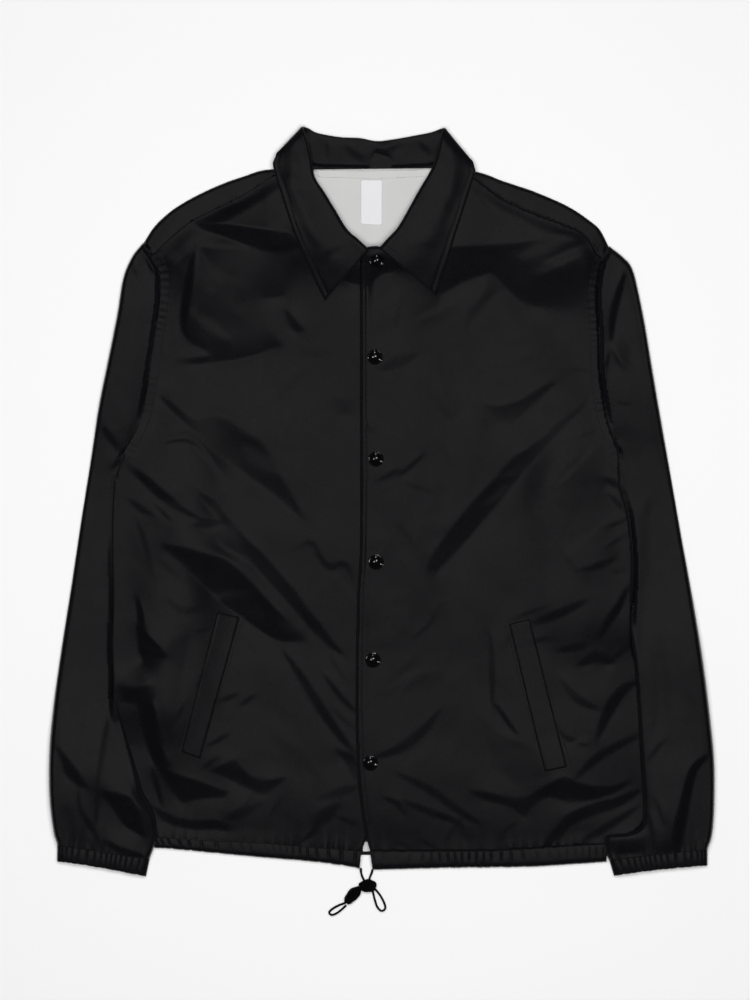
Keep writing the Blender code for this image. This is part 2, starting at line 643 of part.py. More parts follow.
def collar_ring(row):
    """One section of the collar: stand and fall, joined at the fold and turned about the section's own line."""
    fold_x, fold_y, to_x, to_y, fall_width, stand_width, lift, turn = row
    fold = Vector((fold_x, fold_y))
    run = (Vector((to_x, to_y)) - fold).normalized()
    side = 1.0 if fold_x < COLLAR_MIDDLE else -1.0
    outward = Vector((-run.y, run.x)) * side
    lean = math.sin(math.radians(turn))
    rise = math.cos(math.radians(turn))
    depth = 2 * COLLAR_WALL + COLLAR_SLOT
    inner_fold = 1.4

    def point(distance, level):
        spot = fold + run * distance
        shelf = lift * (highest(front_high, spot.x, spot.y, 7.0) + LAYER_GAP) if lift else 0.0
        off = level - depth / 2
        spot += outward * (lean * off / UNIT)
        return place(spot.x, spot.y, shelf + depth / 2 + rise * off)

    def fall_level(distance):
        resting = smooth(distance, stand_width + 2, stand_width + 16) if rise > 0.9 else 0.0
        return (COLLAR_WALL + COLLAR_SLOT) * (1.0 - resting)

    stand_stops = [inner_fold + (stand_width - inner_fold) * share for share in (1.0, 0.5, 0.0)]
    fall_stops = [inner_fold + (fall_width - inner_fold) * share for share in (0.3, 0.65, 1.0)]
    ring = [point(stop, 0.0) for stop in stand_stops[:2]]
    ring += [point(0.0, 0.0), point(0.0, depth)]
    ring += [point(stop, fall_level(stop) + COLLAR_WALL) for stop in fall_stops]
    ring += [point(stop, fall_level(stop)) for stop in fall_stops[::-1] + [inner_fold]]
    ring += [point(stop, COLLAR_WALL) for stop in stand_stops[::-1]]
    return ring


def snap_cap(name, x, y, collection):
    """A domed cap turned from its profile, standing on the left front."""
    radius = SNAP_DIAMETER / 2
    stops = [math.pi / 2 * step / 4 for step in range(5)]
    profile = [(0.0, SNAP_HEIGHT)]
    dome = SNAP_HEIGHT - SNAP_RIM
    profile += [(radius * math.sin(stop), SNAP_RIM + dome * math.cos(stop)) for stop in stops[1:]]
    profile += [(radius, 0.0), (0.0, 0.0)]
    mesh = bpy.data.meshes.new(name)
    edges = [(index, index + 1) for index in range(len(profile) - 1)]
    mesh.from_pydata([(across, 0.0, height) for across, height in profile], edges, [])
    cap = add_object(name, mesh, CAP, collection)
    reach = radius / UNIT
    ring = [(x + reach * math.cos(turn), y + reach * math.sin(turn)) for turn in (0.0, 1.57, 3.14, 4.71)]
    seat = max(front_left_low(at_x, at_row) + WALL for at_x, at_row in ring + [(x, y)])
    cap.location = place(x, y, seat + SEAM_GAP)
    turned = cap.modifiers.new("Turn", "SCREW")
    turned.steps = 16
    turned.render_steps = 16
    turned.use_merge_vertices = True
    turned.merge_threshold = 0.00005
    return cap


def shoulder_strip(name, fold, seam, collection):
    """The back's top, wrapped over the shoulder and ending at the forward seam."""
    gap = SEAM_GAP / UNIT
    outline = list(fold) + [(x, y - gap) for x, y in seam[::-1]]
    cloth_panel(name, outline, SMALL_SPACING, lambda x, y: back_high(x, y) + LAYER_GAP, CLOTH, collection)


def front_outline(armhole, side, casing, edge, neck, seam, turn):
    """A front's cut: armhole, side, casing line, closing edge, neck and shoulder seam."""
    gap = SEAM_GAP / UNIT
    outline = [(x + gap * turn, y) for x, y in list(armhole[1:]) + list(side)]
    outline += casing
    outline += list(edge[::-1])
    outline += neck
    outline += [(x, y + gap) for x, y in seam]
    return outline


def cord(name, route, collection):
    """A round cord through its route's points."""
    curve = bpy.data.curves.new(name, "CURVE")
    curve.dimensions = "3D"
    curve.bevel_depth = CORD_DIAMETER / 2
    curve.bevel_resolution = 2
    curve.use_fill_caps = True
    spline = curve.splines.new("POLY")
    points = smooth_route(route)
    spline.points.add(len(points) - 1)
    for spot, point in zip(spline.points, points):
        spot.co = (*point, 1.0)
    made = bpy.data.objects.new(name, curve)
    curve.materials.append(material(TRIM))
    collection.objects.link(made)
    return made


def smooth_route(route):
    """Points of a smooth curve through a route, a point every few diameters."""
    points = [place(x, y, height) for x, y, height in route]
    result = []
    padded = [points[0] * 2 - points[1]] + points + [points[-1] * 2 - points[-2]]
    for index in range(1, len(padded) - 2):
        before, start, end, after = padded[index - 1:index + 3]
        pieces = max(1, round((end - start).length / (CORD_DIAMETER * CORD_STEP)))
        for step in range(pieces):
            share = step / pieces
            bend = 0.5 * (2 * start + (end - before) * share
                          + (2 * before - 5 * start + 4 * end - after) * share ** 2
                          + (3 * start - before - 3 * end + after) * share ** 3)
            result.append(bend)
    return result + [points[-1]]


def knot(name, x, y, width, length, height, turn, collection):
    """A tied knot: a lumpy ball of crossed turns, resting on the table."""
    bpy.ops.mesh.primitive_uv_sphere_add(segments=14, ring_count=9, radius=1.0, location=(0.0, 0.0, 0.0))
    made = bpy.context.object
    made.name = name
    made.data.name = name
    centre = place(x, y, height / 2)
    swing = Matrix.Rotation(math.radians(turn), 4, "Z")
    for vert in made.data.vertices:
        around = math.atan2(vert.co.y, vert.co.x)
        lump = 0.95 + 0.05 * math.sin(3 * around + 4 * vert.co.z)
        size = Vector((vert.co.x * width / 2 * lump, vert.co.y * length / 2 * lump, vert.co.z * height / 2))
        vert.co = centre + swing @ size
    made.data.materials.append(material(TRIM))
    for holder in list(made.users_collection):
        holder.objects.unlink(made)
    collection.objects.link(made)
    return made


def main():
    """Builds every piece of the jacket."""
    clear_scene()
    collection = bpy.data.collections.new("coach_jacket")
    bpy.context.scene.collection.children.link(collection)
    gap = SEAM_GAP / UNIT

    back_outline = list(SHOULDER_FOLD_RIGHT) + list(NECK_BACK) + list(SHOULDER_FOLD_LEFT[::-1])
    back_outline += [(x - gap, y) for x, y in ARMHOLE_LEFT[1:] + SIDE_LEFT]
    back_outline += list(CASING_BACK[::-1])
    back_outline += [(x + gap, y) for x, y in (ARMHOLE_RIGHT[1:] + SIDE_RIGHT)[::-1]]
    cloth_panel("back", back_outline, BACK_SPACING, back_low, CLOTH, collection)

    shoulder_strip("shoulder_right", SHOULDER_FOLD_RIGHT, SHOULDER_SEAM_RIGHT, collection)
    shoulder_strip("shoulder_left", SHOULDER_FOLD_LEFT, SHOULDER_SEAM_LEFT, collection)

    right = front_outline(ARMHOLE_RIGHT, SIDE_RIGHT, CASING_RIGHT, EDGE_RIGHT, NECK_RIGHT[::-1],
                          SHOULDER_SEAM_RIGHT[::-1], 1)
    cloth_panel("front_right", right, FRONT_SPACING, front_right_low, CLOTH, collection)
    left = front_outline(ARMHOLE_LEFT, SIDE_LEFT, CASING_LEFT[::-1], EDGE_LEFT, NECK_LEFT,
                         SHOULDER_SEAM_LEFT[::-1], -1)
    cloth_panel("front_left", left, FRONT_SPACING, front_left_low, CLOTH, collection)

    def lining_low(x, y):
        return highest(back_high, x, y, 6.0) + SEAM_GAP

    def trim_low(x, y):
        return lining_low(x, y) + LINING_WALL + TRIM_GAP

    cloth_panel("lining_back", LINING, SMALL_SPACING, lining_low, PALE, collection, LINING_WALL)
    cloth_panel("neck_facing", FACING, SMALL_SPACING, trim_low, PALE, collection, LINING_WALL)
    cloth_panel("label", LABEL, SMALL_SPACING, trim_low, LABEL_CLOTH, collection, LINING_WALL)

    line_right = [(x, y - gap) for x, y in CUFF_TOP_RIGHT[1:-1]]
    line_left = [(x, y - gap) for x, y in CUFF_TOP_LEFT[1:-1]]
    tube_panel("sleeve_right", ARMHOLE_RIGHT, SLEEVE_IN_RIGHT, line_right[::-1], SLEEVE_OUT_RIGHT[::-1],
               sleeve_low, sleeve_right_high, CLOTH, collection)
    tube_panel("sleeve_left", ARMHOLE_LEFT, SLEEVE_IN_LEFT, line_left[::-1], SLEEVE_OUT_LEFT[::-1],
               sleeve_low, sleeve_left_high, CLOTH, collection)
    cuff_tube("cuff_right", CUFF_TOP_RIGHT, CUFF_END_RIGHT, CUFF_GATHERS, lambda x, y: 0.0, collection)
    cuff_tube("cuff_left", CUFF_TOP_LEFT, CUFF_END_LEFT, CUFF_GATHERS, lambda x, y: 0.0, collection)

    loft("collar", [collar_ring(row) for row in COLLAR], CLOTH, collection)

    hem_shelf = HEM_BACK + LAYER_GAP
    hem_casing("hem_right", CASING_RIGHT, HEM_EDGE_RIGHT, lambda x, y: hem_shelf, HEM_GATHERS, collection)
    hem_casing("hem_left", CASING_LEFT, HEM_EDGE_LEFT, lambda x, y: hem_shelf, HEM_GATHERS, collection)
    hem_outline = [(x, y + gap) for x, y in CASING_BACK] + list(HEM_EDGE_BACK[::-1])
    cloth_panel("hem_back", hem_outline, BACK_SPACING, lambda x, y: 0.0, CLOTH, collection, HEM_BACK)

    def welt_right_low(x, y):
        return highest(front_right_low, x, y, 5.0) + WALL + SEAM_GAP

    def welt_left_low(x, y):
        return highest(front_left_low, x, y, 5.0) + WALL + SEAM_GAP

    cloth_panel("welt_right", WELT_RIGHT, SMALL_SPACING, welt_right_low, CLOTH, collection)
    cloth_panel("welt_left", WELT_LEFT, SMALL_SPACING, welt_left_low, CLOTH, collection)

    for number, (x, y) in enumerate(SNAPS, start=1):
        snap_cap(f"snap_{number}", x, y, collection)

    for name, route in (("drawcord_right", CORD_RIGHT), ("drawcord_left", CORD_LEFT),
                        ("loop_right", LOOP_RIGHT), ("loop_left", LOOP_LEFT)):
        cord(name, route, collection)
    for row in KNOTS:
        knot(*row, collection)


main()
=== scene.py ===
"""The looks of a black coach jacket that lies flat and snapped shut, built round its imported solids.

Plan tables are written on the same chart as the solids' source: x runs right, y runs down, one chart unit is
UNIT metres, and the wearer's right is at the chart's left. Heights are metres above the table. In the classes'
fields, heights, depths and walls are metres, and what runs along the cloth is in chart units.
"""

import logging
import math
from dataclasses import dataclass
from enum import Enum
from typing import Callable, Sequence

import bpy
import numpy as np
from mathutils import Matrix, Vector
from mathutils.bvhtree import BVHTree
from mathutils.geometry import delaunay_2d_cdt


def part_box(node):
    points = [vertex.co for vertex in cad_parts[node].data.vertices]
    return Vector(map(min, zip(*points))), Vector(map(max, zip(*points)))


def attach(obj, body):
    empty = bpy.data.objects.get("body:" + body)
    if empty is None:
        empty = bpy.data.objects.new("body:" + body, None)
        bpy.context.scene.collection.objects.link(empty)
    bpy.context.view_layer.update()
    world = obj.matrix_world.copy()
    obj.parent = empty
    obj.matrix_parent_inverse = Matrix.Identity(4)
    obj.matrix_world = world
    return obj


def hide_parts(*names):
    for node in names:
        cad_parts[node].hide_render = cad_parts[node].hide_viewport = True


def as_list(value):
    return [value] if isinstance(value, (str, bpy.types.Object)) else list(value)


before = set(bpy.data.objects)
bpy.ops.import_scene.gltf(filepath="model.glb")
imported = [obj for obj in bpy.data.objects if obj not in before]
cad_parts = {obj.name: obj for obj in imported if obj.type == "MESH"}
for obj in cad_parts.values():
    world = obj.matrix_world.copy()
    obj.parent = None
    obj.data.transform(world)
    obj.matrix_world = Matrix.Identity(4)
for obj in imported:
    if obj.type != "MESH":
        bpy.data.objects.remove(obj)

LOG = logging.getLogger("coach_jacket")

Chain = Sequence[tuple[float, float]]
Heights = Callable[[np.ndarray], np.ndarray]

# Driving dimensions, as in the solids' source
BODY_LENGTH = 0.742
CHART_BODY_LENGTH = 720.0
UNIT = BODY_LENGTH / CHART_BODY_LENGTH
CHART_CENTRE_X = 381.85
CHART_CENTRE_Y = 501.225

# On the chart: the spacing of a smooth seam's points, how near two points of an outline count as one, where
# rows of finer triangles lie inside a rim and beside a seam, and the half width of a stitched groove
SEAM_STEP = 2.2
DOUBLED = 0.6
RIM_ROWS = (0.5, 1.2)
SEAM_ROWS = (-1.5, -0.7, 0.0, 0.7, 1.5)
GROOVE_WIDTH = 0.9

# Sizes of the cloth's broad waves with their shares, and the margin of a field of folds round its cloth
WAVE_SIZES = ((84.0, 0.5), (47.0, 0.3), (26.0, 0.2))
FIELD_MARGIN = 50

# Where the cloth below the collar, a welt and a snap is felt, as steps from a point
SHELF_STEPS = ((0, 0), (7, 0), (-7, 0), (0, 7), (0, -7), (10, 10), (-10, -10), (-10, 10), (10, -10))
WELT_STEPS = ((0, 0), (3, 0), (-3, 0), (0, 3), (0, -3))
SEAT_STEPS = ((0, 0), (6, 0), (-6, 0), (0, 6), (0, -6))

# Armhole and side edges
ARMHOLE_RIGHT = (
    (143, 243), (158, 268), (160, 296), (155, 334), (150, 368), (146, 394), (140, 422), (124, 452),
)
ARMHOLE_LEFT = (
    (609, 246), (600, 270), (597, 296), (599, 334), (600, 368), (603, 395), (609, 424), (619, 450),
)
SIDE_RIGHT = (
    (114, 480), (112, 520), (112, 560), (113, 600), (112, 640), (113, 690), (113, 740), (119, 775),
    (135, 812),
)
SIDE_LEFT = (
    (621, 488), (629, 514), (633, 545), (634, 575), (633, 602), (633.5, 650), (648, 678), (655, 730),
    (650, 785), (649, 812), (640, 829), (620, 842),
)

# The shoulder outline, where the back folds over, and the forward seam on the front
SHOULDER_FOLD_RIGHT = (
    (143.7, 243), (155, 226), (170, 212), (185, 202), (200, 194), (215, 187), (230, 181), (245, 176),
    (262, 170.5), (286, 168.5),
)
SHOULDER_FOLD_LEFT = (
    (608.3, 246), (600, 230), (590, 221), (575, 210.5), (560, 202.5), (545, 196), (530, 190), (515, 185),
    (500, 180), (485, 174), (464, 169),
)
SHOULDER_SEAM_RIGHT = ((151.5, 256), (174, 235), (194, 220), (240, 197), (272, 177), (286, 172.5))
SHOULDER_SEAM_LEFT = ((603, 260), (584, 233), (562, 223), (538, 214), (505, 199), (474, 177), (464, 173))

# Necklines under the collar
NECK_BACK = ((313, 167.6), (345, 168.2), (375, 168.6), (405, 168), (436, 166.6))
NECK_RIGHT = ((299, 180), (309, 197), (321, 217), (333, 236), (345, 248), (360, 258))
NECK_LEFT = (
    (361, 249.5), (368, 247), (377, 246), (386, 248), (398, 246), (410, 239), (424, 225), (436, 205),
    (444, 189), (450, 180),
)

# Closing edges, the line where the casing starts, and the hem's edge
EDGE_LEFT = (
    (361, 249.5), (360, 262), (360, 400), (360, 540), (357, 602), (355.6, 708), (358, 780), (364, 830),
)
EDGE_RIGHT = ((394, 262), (395, 400), (395, 560), (393, 700), (390, 772), (376, 815))
CASING_RIGHT = ((151, 838.5), (182, 840), (256, 843), (310, 847.5), (361, 851.5))
CASING_LEFT = ((370.5, 852), (420, 852), (490, 851.5), (538, 849), (607, 845))
CASING_BACK = ((151, 838), (250, 839.5), (368, 840), (500, 839.5), (607, 840.5))
HEM_EDGE_RIGHT = ((155, 848), (182, 850), (256, 857), (305, 861), (338, 865), (360, 868.5))
HEM_EDGE_LEFT = ((372, 870), (392, 869.5), (450, 868), (525, 867), (570, 864.5), (606, 862))
HEM_EDGE_BACK = ((155, 847.5), (250, 852.5), (368, 855), (500, 854.5), (606, 853))

# Sleeve outlines
SLEEVE_OUT_RIGHT = (
    (143, 243), (132, 257), (123, 279), (117, 315), (108, 360), (99, 405), (90, 465), (80.5, 525),
    (71.5, 585), (62, 645), (53.5, 705), (49.3, 750), (49.2, 795), (53, 830), (57.2, 845),
)
SLEEVE_OUT_LEFT = (
    (609, 246), (623, 257), (632, 268), (638, 290), (645, 325), (652, 367), (661, 420), (671.5, 480),
    (682, 540), (693, 600), (703, 660), (710.5, 720), (714.5, 765), (714.3, 810), (712, 836), (707.5, 849.2),
)
CUFF_TOP_RIGHT = ((57.2, 845.5), (78, 848.2), (100, 851.8), (126, 856.2), (150, 858.8))
CUFF_END_RIGHT = ((57, 861.5), (80, 864.5), (110, 869.5), (130, 873.5), (146, 876.5))
CUFF_TOP_LEFT = ((707.5, 849.8), (684, 851.8), (658, 854.5), (634, 857.3), (609, 860.3))
CUFF_END_LEFT = ((707.5, 865.5), (684, 867.5), (658, 870), (634, 873), (614, 876))

# The sleeves' inner edges where they lie over the body's sides
SLEEVE_LAID_RIGHT = (
    (124, 452), (136, 474), (152, 500), (158, 545), (152, 590), (134, 640), (115, 686), (115.5, 698),
    (118.5, 712), (124, 730), (131, 752), (137, 772), (143, 792), (151, 806), (156, 822), (156, 840),
    (150, 858.2),
)
SLEEVE_LAID_LEFT = (
    (619, 450), (606, 472), (590, 498), (586, 528), (598, 556), (614, 580), (632.5, 601), (631, 614),
    (631.5, 640), (635, 670), (638, 710), (640, 750), (642.5, 790), (643, 812), (641, 826), (628, 833),
    (607, 836), (606, 852), (609, 859.6),
)

WELT_RIGHT = ((217.6, 612), (239.7, 617), (200.3, 759), (181.6, 752))
WELT_LEFT = ((509, 624), (529.6, 619), (567, 767), (544.7, 772))

LINING = (
    (314, 169.5), (434, 168.2), (436, 186), (424, 200), (414, 218), (400, 238), (388, 249), (376, 256),
    (362, 251), (350, 244), (338, 232), (326, 213), (313, 194), (308, 180),
)
FACING = ((316, 170.2), (375, 171), (432, 169.2), (431, 176), (375, 178.5), (318, 177))
LABEL = ((361, 180), (382, 180), (382, 225), (361, 224))

SNAPS = ((377, 260.5), (375, 357), (376, 459), (376, 562), (373, 660), (370.5, 763))

# The drawcord's route, each row x, y and height, through its knots to the end of its loop
CORD_RIGHT = (
    (360.8, 868.2, 0.0026), (361.0, 872.0, 0.0016), (362.0, 876.0, 0.0014), (363.8, 880.0, 0.0018),
    (364.6, 884.0, 0.0026), (361.6, 888.0, 0.0026), (356.8, 891.4, 0.0024), (352.4, 895.6, 0.0024),
    (348.6, 899.8, 0.0020), (345.0, 903.1, 0.0013), (339.6, 905.0, 0.0012), (333.0, 908.6, 0.0012),
    (329.2, 912.2, 0.0012), (331.6, 915.0, 0.0012), (336.6, 913.4, 0.0012), (341.6, 909.6, 0.0012),
    (346.2, 905.4, 0.0012),
)
CORD_LEFT = (
    (372.4, 869.7, 0.0026), (371.8, 872.8, 0.0016), (370.4, 876.0, 0.0013), (369.4, 879.2, 0.0017),
    (369.4, 882.6, 0.0026), (371.4, 886.0, 0.0026), (375.0, 889.0, 0.0015), (380.4, 895.8, 0.0012),
    (384.2, 903.0, 0.0012), (385.2, 908.6, 0.0012), (381.6, 911.0, 0.0012), (377.6, 907.6, 0.0012),
    (375.0, 900.6, 0.0012), (372.8, 891.4, 0.0012),
)

# Collar stations: fold x and y, a point that the section runs to, the fall's and the stand's width, the share
# of the lift onto the fronts, and the turn in degrees, 0 with the fall on top and 180 with it beneath
COLLAR = (
    (369, 249, 325, 301, 68.1, 24, 1.0, 0), (358, 239, 312, 274, 57.8, 26, 1.0, 0),
    (347, 229, 302, 252, 50.5, 26, 1.0, 0), (336, 211, 292, 227, 46.8, 26, 1.0, 0),
    (325, 193, 284, 203, 42.2, 24, 1.0, 0), (315, 177, 277, 181, 38.2, 20, 1.0, 0),
    (312, 160, 273, 166, 39.5, 14, 1.0, 0), (308, 143, 274, 159.5, 37.8, 12, 1.0, 0),
    (304.5, 132, 274.8, 157.5, 39.1, 12, 0.85, 40), (303.2, 127, 277.5, 155, 38.0, 12, 0.5, 90),
    (305.2, 127, 290, 161, 41.0, 20, 0.15, 140), (309, 128.5, 308, 166, 38.0, 34, 0.0, 180),
    (318, 133, 319, 166.8, 62.0, 33.8, 0.0, 180), (340, 137, 341, 167.4, 69.0, 30.4, 0.0, 180),
    (360, 138, 361, 167.8, 71.0, 29.8, 0.0, 180), (376, 141, 375.5, 168, 68.0, 27.0, 0.0, 180),
    (392, 139.5, 391, 167.6, 70.0, 28.1, 0.0, 180), (412, 136, 411, 167, 69.0, 31.0, 0.0, 180),
    (430, 132.5, 429, 166, 62.0, 33.5, 0.0, 180), (438.5, 129.5, 440, 165, 37.0, 33.0, 0.0, 180),
    (441.8, 128.5, 459, 160.5, 41.0, 20, 0.15, 140), (443.4, 128.5, 472.5, 163.5, 44.5, 12, 0.5, 90),
    (441, 136, 475, 167.5, 46.3, 12, 0.85, 40), (438.5, 147, 475.5, 170.5, 43.8, 12, 1.0, 0),
    (434, 163, 474, 177, 42.4, 16, 1.0, 0), (428, 175, 469, 192, 44.4, 22, 1.0, 0),
    (419, 190, 463, 211, 48.8, 24, 1.0, 0), (409, 208, 456, 233, 53.2, 26, 1.0, 0),
    (398, 227, 449, 256, 58.7, 26, 1.0, 0), (388, 238, 443, 274, 65.7, 26, 1.0, 0),
    (379, 248, 436, 295, 73.9, 24, 1.0, 0),
)


# Broad facets that lean away from the light: steepness, softness of their edges in chart units, and their
# outline's x and y by turns.
# A facet's uphill side is the one toward the collar, and one with a negative steepness leans to the light.
FACETS_RIGHT = (
    (0.120, 4.0, 172, 266, 198, 246, 262, 247, 292, 246, 300, 262, 286, 296, 264, 300, 270, 328, 280, 346,
     262, 356, 232, 363, 200, 366, 166, 364, 172, 330),
    (0.300, 1.2, 194, 221, 212, 223, 236, 225, 262, 229, 290, 232, 299, 246, 290, 252, 268, 251, 248, 246,
     232, 240, 214, 233, 200, 229),
    (-0.03, 3.0, 172, 350, 184, 344, 202, 348, 208, 355, 190, 358, 172, 358),
    (0.120, 1.4, 284, 309, 290, 312, 304, 330, 298, 334, 288, 326),
    (0.120, 2.6, 159, 396, 168, 397, 182, 409, 196, 420, 212, 414, 228, 418, 244, 424, 258, 436, 270, 456,
     284, 480, 300, 508, 306, 522, 294, 512, 276, 497, 256, 482, 232, 465, 212, 450, 194, 433, 176, 414),
    (0.160, 1.3, 124, 461, 134, 466, 150, 478, 166, 492, 184, 508, 200, 516, 214, 518, 224, 523, 206, 530,
     190, 527, 174, 516, 156, 496, 140, 480, 128, 470),
    (0.165, 1.6, 195, 487, 204, 494, 216, 499, 222, 508, 228, 517, 238, 527, 246, 538, 262, 552, 280, 572,
     298, 594, 314, 616, 334, 642, 345, 656, 330, 648, 312, 632, 296, 612, 276, 590, 256, 568, 238, 554, 222,
     546, 213, 535, 226, 527, 214, 514, 203, 500),
    (0.185, 1.6, 163, 546, 175, 546, 203, 553, 225, 558, 244, 574, 266, 599, 287, 621, 304, 632, 303, 640,
     290, 642, 275, 640, 262, 632, 241, 616, 219, 601, 203, 585, 187, 568, 170, 552),
    (0.130, 1.6, 337, 750, 350, 751, 357, 760, 356, 782, 350, 770, 342, 760),
    (0.060, 4.0, 168, 640, 190, 632, 184, 670, 174, 720, 165, 728, 167, 680),
    (0.300, 1.2, 138, 626, 146, 633, 158, 645, 165, 656, 150, 656, 142, 661, 138, 645),
    (-0.06, 3.0, 116, 664, 132, 660, 150, 666, 150, 682, 134, 685, 116, 680),
    (0.130, 2.0, 117, 686, 134, 688, 150, 684, 150, 697, 134, 703, 120, 700),
    (0.260, 1.6, 137, 700, 152, 702, 158, 725, 161, 748, 168, 765, 158, 768, 150, 752, 143, 732),
    (0.165, 1.5, 157, 765, 176, 775, 203, 783, 227, 791, 224, 797, 204, 798, 192, 800, 183, 805, 173, 791,
     164, 778),
    (0.165, 1.5, 212, 770, 226, 764, 235, 756, 240, 766, 250, 776, 264, 781, 285, 777, 276, 786, 268, 795,
     250, 791, 236, 784, 224, 777),
    (0.140, 1.6, 150, 804, 160, 810, 176, 818, 196, 822, 214, 820, 226, 824, 229, 831, 214, 829, 196, 831,
     176, 827, 162, 820),
    (0.080, 1.8, 225, 819, 237, 809, 256, 802, 264, 803, 248, 816, 234, 820),
    (0.070, 2.5, 316, 816, 324, 806, 340, 803, 336, 814, 326, 824, 316, 826),
    (0.050, 4.0, 334, 398, 350, 399, 352, 414, 338, 416),
    (0.260, 3.0, 338, 276, 348, 262, 360, 252, 361, 284, 352, 284),
    (-0.04, 5.0, 160, 500, 196, 520, 186, 530, 160, 520),
    (0.030, 8.0, 120, 520, 150, 560, 160, 620, 136, 600, 118, 570),
    (0.035, 9.0, 250, 664, 284, 668, 316, 720, 330, 760, 290, 770, 256, 720),
    (0.030, 8.0, 230, 400, 256, 404, 270, 436, 250, 430),
)
FACETS_LEFT = (
    (0.130, 2.5, 450, 247, 488, 246, 528, 241, 560, 234, 590, 242, 591, 300, 589, 338, 576, 331, 562, 321,
     544, 309, 524, 306, 506, 288, 492, 272, 480, 276, 464, 281, 440, 296, 436, 290, 446, 262),
    (0.120, 4.0, 452, 249, 480, 248, 500, 262, 480, 272, 452, 280, 444, 272),
    (-0.05, 3.0, 546, 262, 566, 252, 588, 243, 604, 241, 600, 249, 580, 256, 558, 266),
    (0.060, 2.0, 488, 276, 499, 291, 487, 303, 475, 318, 467, 328, 466, 313, 478, 300, 486, 288),
    (0.280, 3.0, 362, 262, 372, 252, 388, 250, 402, 262, 398, 270, 382, 272, 373, 281, 366, 291, 361, 292),
    (0.090, 1.8, 482, 403, 500, 406, 520, 400, 548, 382, 557, 382, 540, 400, 524, 414, 512, 425, 498, 420,
     488, 412),
    (0.125, 2.0, 590, 398, 576, 410, 556, 422, 544, 436, 514, 456, 490, 484, 472, 502, 450, 529, 432, 555,
     427, 569, 436, 573, 448, 561, 470, 537, 497, 505, 528, 468, 558, 435, 580, 411),
    (-0.04, 3.0, 514, 452, 530, 434, 546, 420, 540, 434, 524, 450),
    (0.150, 1.4, 579, 665, 590, 652, 600, 650, 614, 663, 606, 665, 596, 660, 588, 665),
    (0.190, 1.5, 526, 799, 542, 788, 563, 777, 588, 786, 613, 787, 632, 780, 614, 793, 588, 801, 567, 803,
     551, 795, 534, 801),
    (0.130, 1.5, 470, 791, 486, 792, 508, 798, 528, 797, 541, 800, 530, 808, 524, 818, 512, 806, 494, 802,
     480, 798),
    (0.040, 5.0, 480, 716, 500, 733, 540, 753, 546, 775, 520, 786, 490, 762),
    (0.120, 2.0, 604, 836, 640, 833, 643, 852, 612, 853),
    (0.040, 8.0, 478, 412, 492, 420, 486, 460, 470, 498, 462, 480),
    (0.030, 9.0, 560, 470, 590, 480, 560, 560, 520, 600, 500, 590, 540, 520),
    (0.030, 9.0, 400, 560, 430, 580, 436, 640, 410, 650),
    (0.030, 8.0, 404, 318, 436, 304, 470, 300, 440, 324, 412, 336),
    (-0.03, 6.0, 430, 350, 470, 352, 480, 400, 450, 412),
)
FACETS_SLEEVE_RIGHT = (
    (0.220, 1.8, 101, 792, 116, 793, 132, 796, 140, 815, 145, 836, 136, 832, 124, 826, 112, 806),
    (0.150, 2.0, 56, 746, 64, 752, 76, 768, 88, 788, 78, 786, 66, 776),
    (0.100, 4.0, 140, 290, 146, 340, 143, 380, 138, 424, 126, 450, 132, 400, 136, 340),
    (0.040, 8.0, 100, 560, 112, 560, 110, 690, 98, 740, 96, 660),
    (-0.05, 3.0, 104, 735, 114, 720, 128, 756, 132, 788, 106, 786),
    (0.050, 5.0, 60, 800, 78, 812, 80, 840, 62, 836),
)
FACETS_SLEEVE_LEFT = (
    (0.070, 3.0, 602, 256, 612, 262, 618, 286, 609, 330, 602, 356, 598, 300),
    (-0.05, 2.5, 622, 334, 632, 346, 630, 366, 620, 364, 614, 346),
    (0.260, 1.8, 708, 756, 696, 770, 690, 792, 686, 820, 682, 850, 670, 850, 674, 824, 683, 795, 692, 768),
    (0.075, 8.0, 634, 520, 650, 500, 652, 560, 644, 620, 638, 650),
    (0.130, 2.0, 604, 837, 620, 835, 640, 836, 643, 852, 612, 854),
    (0.075, 8.0, 656, 640, 668, 620, 676, 700, 664, 740),
)

